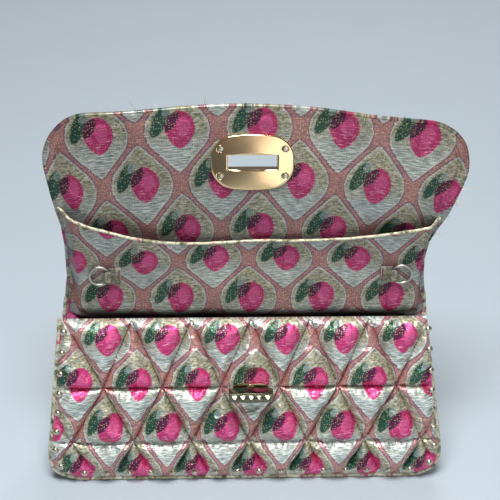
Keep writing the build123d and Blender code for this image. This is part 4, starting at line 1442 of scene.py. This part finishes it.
def make_tab(side, hand, face_y, ring_y, ring_z):
    """A folded strip that goes round the ring's wire, with both ends sewn to the pocket."""
    loop_x = side * (RING_PLACE - TAB_OFFSET)
    loop = TAB_INSIDE + TAB_SHEET / 2
    tail_x = loop_x - side * TAB_TAIL
    # Far enough round the wire for the ring to swing over
    angles = np.linspace(-radians(TAB_WRAP), pi / 2, 40)
    line = [(tail_x, face_y - TAB_SHEET * 1.5), (tail_x + side * TAB_TAIL * 0.45, face_y - TAB_SHEET * 1.8)]
    line += [(loop_x + side * loop * cos(a), ring_y + loop * sin(a)) for a in angles]
    line += [(tail_x + side * TAB_TAIL * 0.5, face_y - TAB_SHEET * 0.5), (tail_x, face_y - TAB_SHEET * 0.5)]
    line = even_points(np.array(line), TAB_STEP)
    ahead = np.gradient(line, axis=0)
    normal = np.stack([-ahead[:, 1], ahead[:, 0]], -1) / np.linalg.norm(ahead, axis=1)[:, None]
    across = np.linspace(-1, 1, 19)
    thick = TAB_SHEET / 2 * np.sqrt(np.maximum(1 - np.abs(across) ** 6, 0.02))
    faces = []
    for turn in (1, -1):
        flat = line[:, None] + normal[:, None] * (turn * thick * 0.9)[None, :, None]
        z = np.broadcast_to(ring_z + across * TAB_HEIGHT / 2, flat.shape[:2])
        faces.append(np.stack([flat[..., 0], flat[..., 1], z], -1))
    gone = np.arange(len(line))[:, None] * TAB_STEP
    # A plain part of the cloth, above a fruit
    level = (faces[0][..., 2] - ring_z) * 0.6 + 20.5
    cloth = np.stack([np.broadcast_to((gone - 5) * 0.8, level.shape), level], -1)
    return sheet_piece(f"ring_tab_cloth_{hand}", *faces, cloth)


def make_tab_stitches(side, hand, face_y, ring_z):
    """Dark stitches down the tab's sewn end."""
    x = side * (RING_PLACE - TAB_OFFSET - TAB_TAIL + 1.1)
    y = face_y - TAB_SHEET * 2.15
    parts = []
    rise = np.linspace(0, 1, 7)
    for step in range(TAB_STITCHES):
        low = ring_z - TAB_HEIGHT / 2 + 0.7 + step * (TAB_HEIGHT - 1.4) / TAB_STITCHES
        path = np.stack([np.full_like(rise, x), y - 0.28 * np.sin(pi * rise), low + 1.2 * rise], -1)
        parts.append(tube_parts(path, np.full_like(rise, 0.34), sides=8))
    return mesh_piece(f"tab_stitches_{hand}", *joined_parts(parts))


def make_turn_lock():
    """The turn knob and what carries it, with the frame's own shapes and softened edges."""
    shown = (("turn_knob", 0.3, "knob", "polished_nickel"), ("lock_base", 0.2, "bag", "pale_nickel"))
    for node, bevel, body, metal in shown:
        piece = softened_copy(node, node + "_polished", bevel)
        settle(piece, metal_named(metal), "silver_metal", node, body=body)
    for node in ("lock_backplate", "spindle_washer"):
        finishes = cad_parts[node].data.materials
        finishes.clear()
        finishes.append(metal_named("polished_nickel"))


def plate_outline(count):
    """The slot plate's bowed and rounded outline, as (x, y), from its right side anticlockwise."""
    end_x, end_y = PLATE_WIDTH / 2 - PLATE_SIDE_BOW, PLATE_HEIGHT / 2 - PLATE_END_BOW
    points = []
    for turn in np.arange(count) * 2 * pi / count:
        way = Vector((cos(turn), sin(turn)))
        # Halve the reach until it meets the rounded corner, side bow or end bow
        low, high = 0.0, PLATE_WIDTH
        for _ in range(40):
            reach = (low + high) / 2
            x, y = abs(way.x) * reach, abs(way.y) * reach
            side_x = PLATE_WIDTH / 2 - PLATE_SIDE_BOW * (y / end_y) ** 2
            side_y = PLATE_HEIGHT / 2 - PLATE_END_BOW * (x / end_x) ** 2
            in_x, in_y = x - (side_x - PLATE_CORNER), y - (side_y - PLATE_CORNER)
            if in_x > 0 and in_y > 0:
                inside = hypot(in_x, in_y) < PLATE_CORNER
            else:
                inside = x < side_x and y < side_y
            low, high = (reach, high) if inside else (low, reach)
        points.append((way.x * reach, way.y * reach))
    return np.array(points)


def slot_outline(outer):
    """Points of the slot's rounded edge that face the outline's points."""
    points = []
    for x, y in outer:
        scale = max(abs(x) / (SLOT_LENGTH / 2), abs(y) / (SLOT_HEIGHT / 2))
        points.append((x / scale, y / scale))
    return np.array(points)


def make_slot_plates():
    """Polished plates on both faces of the flap, slightly domed, with four screws."""
    lean = radians(FLAP_RUNS[1][1])
    up, out = np.array([0, sin(lean), cos(lean)]), np.array([0, -cos(lean), sin(lean)])
    origin = np.array([0, *SLOT_PLACE])
    depth = BACK_SHEET * cos(lean)
    plates = (
        ("slot_plate_face", "slot_plate_inner", 1, 0.0),
        ("slot_plate_back", "slot_plate_outer", -1, depth),
    )
    for name, node, facing, sleeve in plates:
        parts = plate_parts(origin - out * sleeve, up, out * facing, sleeve)
        piece = mesh_piece(name, *parts, angle=30)
        settle(piece, metal_named("polished_gold_plating"), "gold_metal", node)
    screws = softened_copy("plate_screws", "plate_screw_heads", 0.12)
    settle(screws, metal_named("screw_steel"), "silver_metal", "plate_screws")


def plate_parts(origin, up, out, sleeve):
    """A domed plate round the slot; its slot wall reaches back through the flap by sleeve."""
    outer = plate_outline(PLATE_POINTS)
    slot = slot_outline(outer)
    sleeve_edge = slot * np.array([1 + 2.4 / SLOT_LENGTH, 1 + 2.4 / SLOT_HEIGHT])
    # Each ring of points is flat places and their height: the rim, its rounded edge, the face and the slot
    rings = [(outer, 0.0), (outer, PLATE_THICKNESS - PLATE_EDGE)]
    for step in (0.3, 0.6, 0.85, 1.0):
        shrink = 1 - PLATE_EDGE * (1 - cos(step * pi / 2)) / (PLATE_HEIGHT / 2)
        rings.append((outer * shrink, PLATE_THICKNESS - PLATE_EDGE * (1 - sin(step * pi / 2))))
    face = outer * (1 - PLATE_EDGE / (PLATE_HEIGHT / 2))
    for share in np.linspace(0, 1, 46)[1:]:
        flat = face * (1 - share) + slot * share
        x, y = flat.T
        crown = 0.5 * (1 - (x / (PLATE_WIDTH / 2)) ** 2) * (1 - (y / (PLATE_HEIGHT / 2)) ** 2)
        edge = 0.35 * smooth_step((share - 0.9) / 0.1)
        from_screw = np.hypot(np.abs(x) - SCREW_ACROSS, np.abs(y) - SCREW_UP)
        sunk = smooth_step((SCREW_RADIUS + 0.55 - from_screw) / 0.5)
        rings.append((flat, PLATE_THICKNESS + crown - edge - 0.55 * sunk))
    rings.append((slot, -sleeve))
    if sleeve:
        rings += [(sleeve_edge, -sleeve), (sleeve_edge, 0.0)]
    aside = np.array([1.0, 0, 0])
    points = np.concatenate([
        origin + flat[:, :1] * aside + flat[:, 1:] * up + np.broadcast_to(height, len(flat))[:, None] * out
        for flat, height in rings
    ])
    faces = grid_faces(len(rings), PLATE_POINTS, around=True, closed=True)
    return points, faces.tolist(), np.zeros((len(faces) * 4, 2))


def make_loose_threads(sizes):
    """Frayed ends of yarn that stand off the flap's edge."""
    draw = random.Random(8)
    profile = back_profile()
    path = flap_path(-0.8, 0.5)
    parts = []
    for _ in range(sizes.loose_threads):
        share = draw.betavariate(1.1, 0.9)
        here = int(len(path) * (0.22 + 0.72 * share)) % (len(path) - 2)
        ahead = path[here + 1] - path[here]
        out = np.array([-ahead[1], ahead[0]]) / np.linalg.norm(ahead)
        root = stand_up(path[here][None], profile, -draw.uniform(0, BACK_SHEET))[0]
        hang(root, *path[here])
        length = draw.uniform(0.9, 3) if draw.random() < 0.9 else draw.uniform(3, 6)
        way = np.array([out[0], draw.uniform(-0.8, 0.4), out[1]])
        way += np.array([draw.gauss(0, 0.7), 0, draw.gauss(0, 0.45)])
        way /= np.linalg.norm(way)
        bend = np.array([draw.gauss(0, 0.9), draw.gauss(0, 0.5), draw.gauss(-0.2, 0.8)])
        t = np.linspace(0, 1, 9)[:, None]
        route = root - way + way * length * t + bend * length * t**2
        parts.append(tube_parts(route, np.linspace(0.17, 0.08, 9), sides=5))
    piece = mesh_piece("loose_threads", *joined_parts(parts))
    settle(piece, thread_named("metal_yarn"), "piping_brocade")


# Stage

def make_stage(colours):
    """Plain pale floor, soft studio light and the camera."""
    scene = bpy.context.scene
    scene.view_settings.view_transform = "Standard"
    mesh = bpy.data.meshes.new("floor")
    half = 6.0
    corners = [(-half, -half, 0), (half, -half, 0), (half, half, 0), (-half, half, 0)]
    mesh.from_pydata(corners, [], [(0, 1, 2, 3)])
    floor = bpy.data.objects.new("floor", mesh)
    scene.collection.objects.link(floor)
    mesh.materials.append(painted_floor(colours.floor))
    scene.world = bpy.data.worlds.new("studio")
    scene.world.use_nodes = True
    back = scene.world.node_tree.nodes["Background"]
    back.inputs["Color"].default_value = (*colours.world, 1)
    back.inputs["Strength"].default_value = 0.42
    # Soft lamps: place and aim in metres, width and power
    lamps = (
        ("key", (-0.1, -0.55, 1.45), (0, -0.02, 0.1), 0.55, 27),
        ("panel", (0.44, -1.35, 0.36), (0.1, 0, 0.2), 0.72, 2.8),
        ("rim", (0.25, 1.1, 1.2), (0, 0, 0.15), 0.8, 8),
    )
    for name, place, aim, size, power in lamps:
        lamp = bpy.data.lights.new(name, "AREA")
        lamp.size, lamp.energy = size, power
        holder = bpy.data.objects.new(name, lamp)
        holder.location = place
        holder.rotation_euler = (Vector(aim) - Vector(place)).to_track_quat("-Z", "Y").to_euler()
        scene.collection.objects.link(holder)
    camera = bpy.data.objects.new("camera", bpy.data.cameras.new("camera"))
    scene.collection.objects.link(camera)
    camera.data.lens = 119.3
    yaw, pitch, roll = radians(3.17), radians(29.77), radians(1.2)
    turn = Matrix.Rotation(-yaw, 4, "Z") @ Matrix.Rotation(pi / 2 - pitch, 4, "X")
    turn = turn @ Matrix.Rotation(roll, 4, "Z")
    camera.matrix_world = Matrix.Translation((-0.0518, -0.9233, 0.6936)) @ turn
    scene.camera = camera


# Operators, one for each piece or group of like pieces

class CLUTCH_OT_front_panel(bpy.types.Operator):
    """Build the quilted front"""

    bl_idname = "clutch.front_panel"
    bl_label = "Quilted front"

    def execute(self, context):
        make_front_panel(context.scene.clutch_sizes)
        return {"FINISHED"}


class CLUTCH_OT_back_and_flap(bpy.types.Operator):
    """Build the back wall and the raised flap"""

    bl_idname = "clutch.back_and_flap"
    bl_label = "Back and flap"

    def execute(self, context):
        make_back_and_flap(context.scene.clutch_sizes)
        return {"FINISHED"}


class CLUTCH_OT_gusset(bpy.types.Operator):
    """Build the side and bottom strip"""

    bl_idname = "clutch.gusset"
    bl_label = "Gusset"

    def execute(self, context):
        make_gusset(context.scene.clutch_sizes)
        return {"FINISHED"}


class CLUTCH_OT_slip_pocket(bpy.types.Operator):
    """Build the slip pocket and its bound edge"""

    bl_idname = "clutch.slip_pocket"
    bl_label = "Slip pocket"

    def execute(self, context):
        make_pocket(context.scene.clutch_sizes)
        return {"FINISHED"}


class CLUTCH_OT_piping(bpy.types.Operator):
    """Build the covered cord in the seams"""

    bl_idname = "clutch.piping"
    bl_label = "Piping"

    def execute(self, context):
        make_piping(context.scene.clutch_sizes)
        return {"FINISHED"}


class CLUTCH_OT_studs(bpy.types.Operator):
    """Build the domed studs"""

    bl_idname = "clutch.studs"
    bl_label = "Studs"

    def execute(self, context):
        make_studs()
        return {"FINISHED"}


class CLUTCH_OT_rings(bpy.types.Operator):
    """Build the rings and their tabs"""

    bl_idname = "clutch.rings"
    bl_label = "Rings and tabs"

    def execute(self, context):
        make_rings(context.scene.clutch_sizes)
        return {"FINISHED"}


class CLUTCH_OT_turn_lock(bpy.types.Operator):
    """Build the turn lock"""

    bl_idname = "clutch.turn_lock"
    bl_label = "Turn lock"

    def execute(self, context):
        make_turn_lock()
        return {"FINISHED"}


class CLUTCH_OT_slot_plates(bpy.types.Operator):
    """Build the slot plates and their screws"""

    bl_idname = "clutch.slot_plates"
    bl_label = "Slot plates"

    def execute(self, context):
        make_slot_plates()
        return {"FINISHED"}


class CLUTCH_OT_loose_threads(bpy.types.Operator):
    """Build the frayed yarn along the edges"""

    bl_idname = "clutch.loose_threads"
    bl_label = "Loose threads"

    def execute(self, context):
        make_loose_threads(context.scene.clutch_sizes)
        return {"FINISHED"}


class CLUTCH_OT_stage(bpy.types.Operator):
    """Set the floor, the light and the camera"""

    bl_idname = "clutch.stage"
    bl_label = "Stage"

    def execute(self, context):
        make_stage(context.scene.clutch_colours)
        return {"FINISHED"}


PIECE_OPERATORS = (
    CLUTCH_OT_front_panel,
    CLUTCH_OT_back_and_flap,
    CLUTCH_OT_gusset,
    CLUTCH_OT_slip_pocket,
    CLUTCH_OT_piping,
    CLUTCH_OT_studs,
    CLUTCH_OT_rings,
    CLUTCH_OT_turn_lock,
    CLUTCH_OT_slot_plates,
    CLUTCH_OT_loose_threads,
    CLUTCH_OT_stage,
)


class CLUTCH_PT_pieces(bpy.types.Panel):
    """Lists the clutch's sizes, colours and pieces"""

    bl_idname = "CLUTCH_PT_pieces"
    bl_label = "Clutch"
    bl_space_type = "VIEW_3D"
    bl_region_type = "UI"
    bl_category = "Clutch"

    def draw(self, context):
        for group in (context.scene.clutch_sizes, context.scene.clutch_colours):
            for name in group.__annotations__:
                self.layout.prop(group, name)
        for operator in PIECE_OPERATORS:
            self.layout.operator(operator.bl_idname)


CLASSES = (ClutchSizes, ClutchColours, *PIECE_OPERATORS, CLUTCH_PT_pieces)


def register():
    for each in CLASSES:
        bpy.utils.register_class(each)
    bpy.types.Scene.clutch_sizes = PointerProperty(type=ClutchSizes)
    bpy.types.Scene.clutch_colours = PointerProperty(type=ClutchColours)


def unregister():
    del bpy.types.Scene.clutch_colours
    del bpy.types.Scene.clutch_sizes
    for each in reversed(CLASSES):
        bpy.utils.unregister_class(each)


def main():
    register()
    for operator in PIECE_OPERATORS:
        group, name = operator.bl_idname.split(".")
        getattr(getattr(bpy.ops, group), name)()


if __name__ == "__main__":
    main()
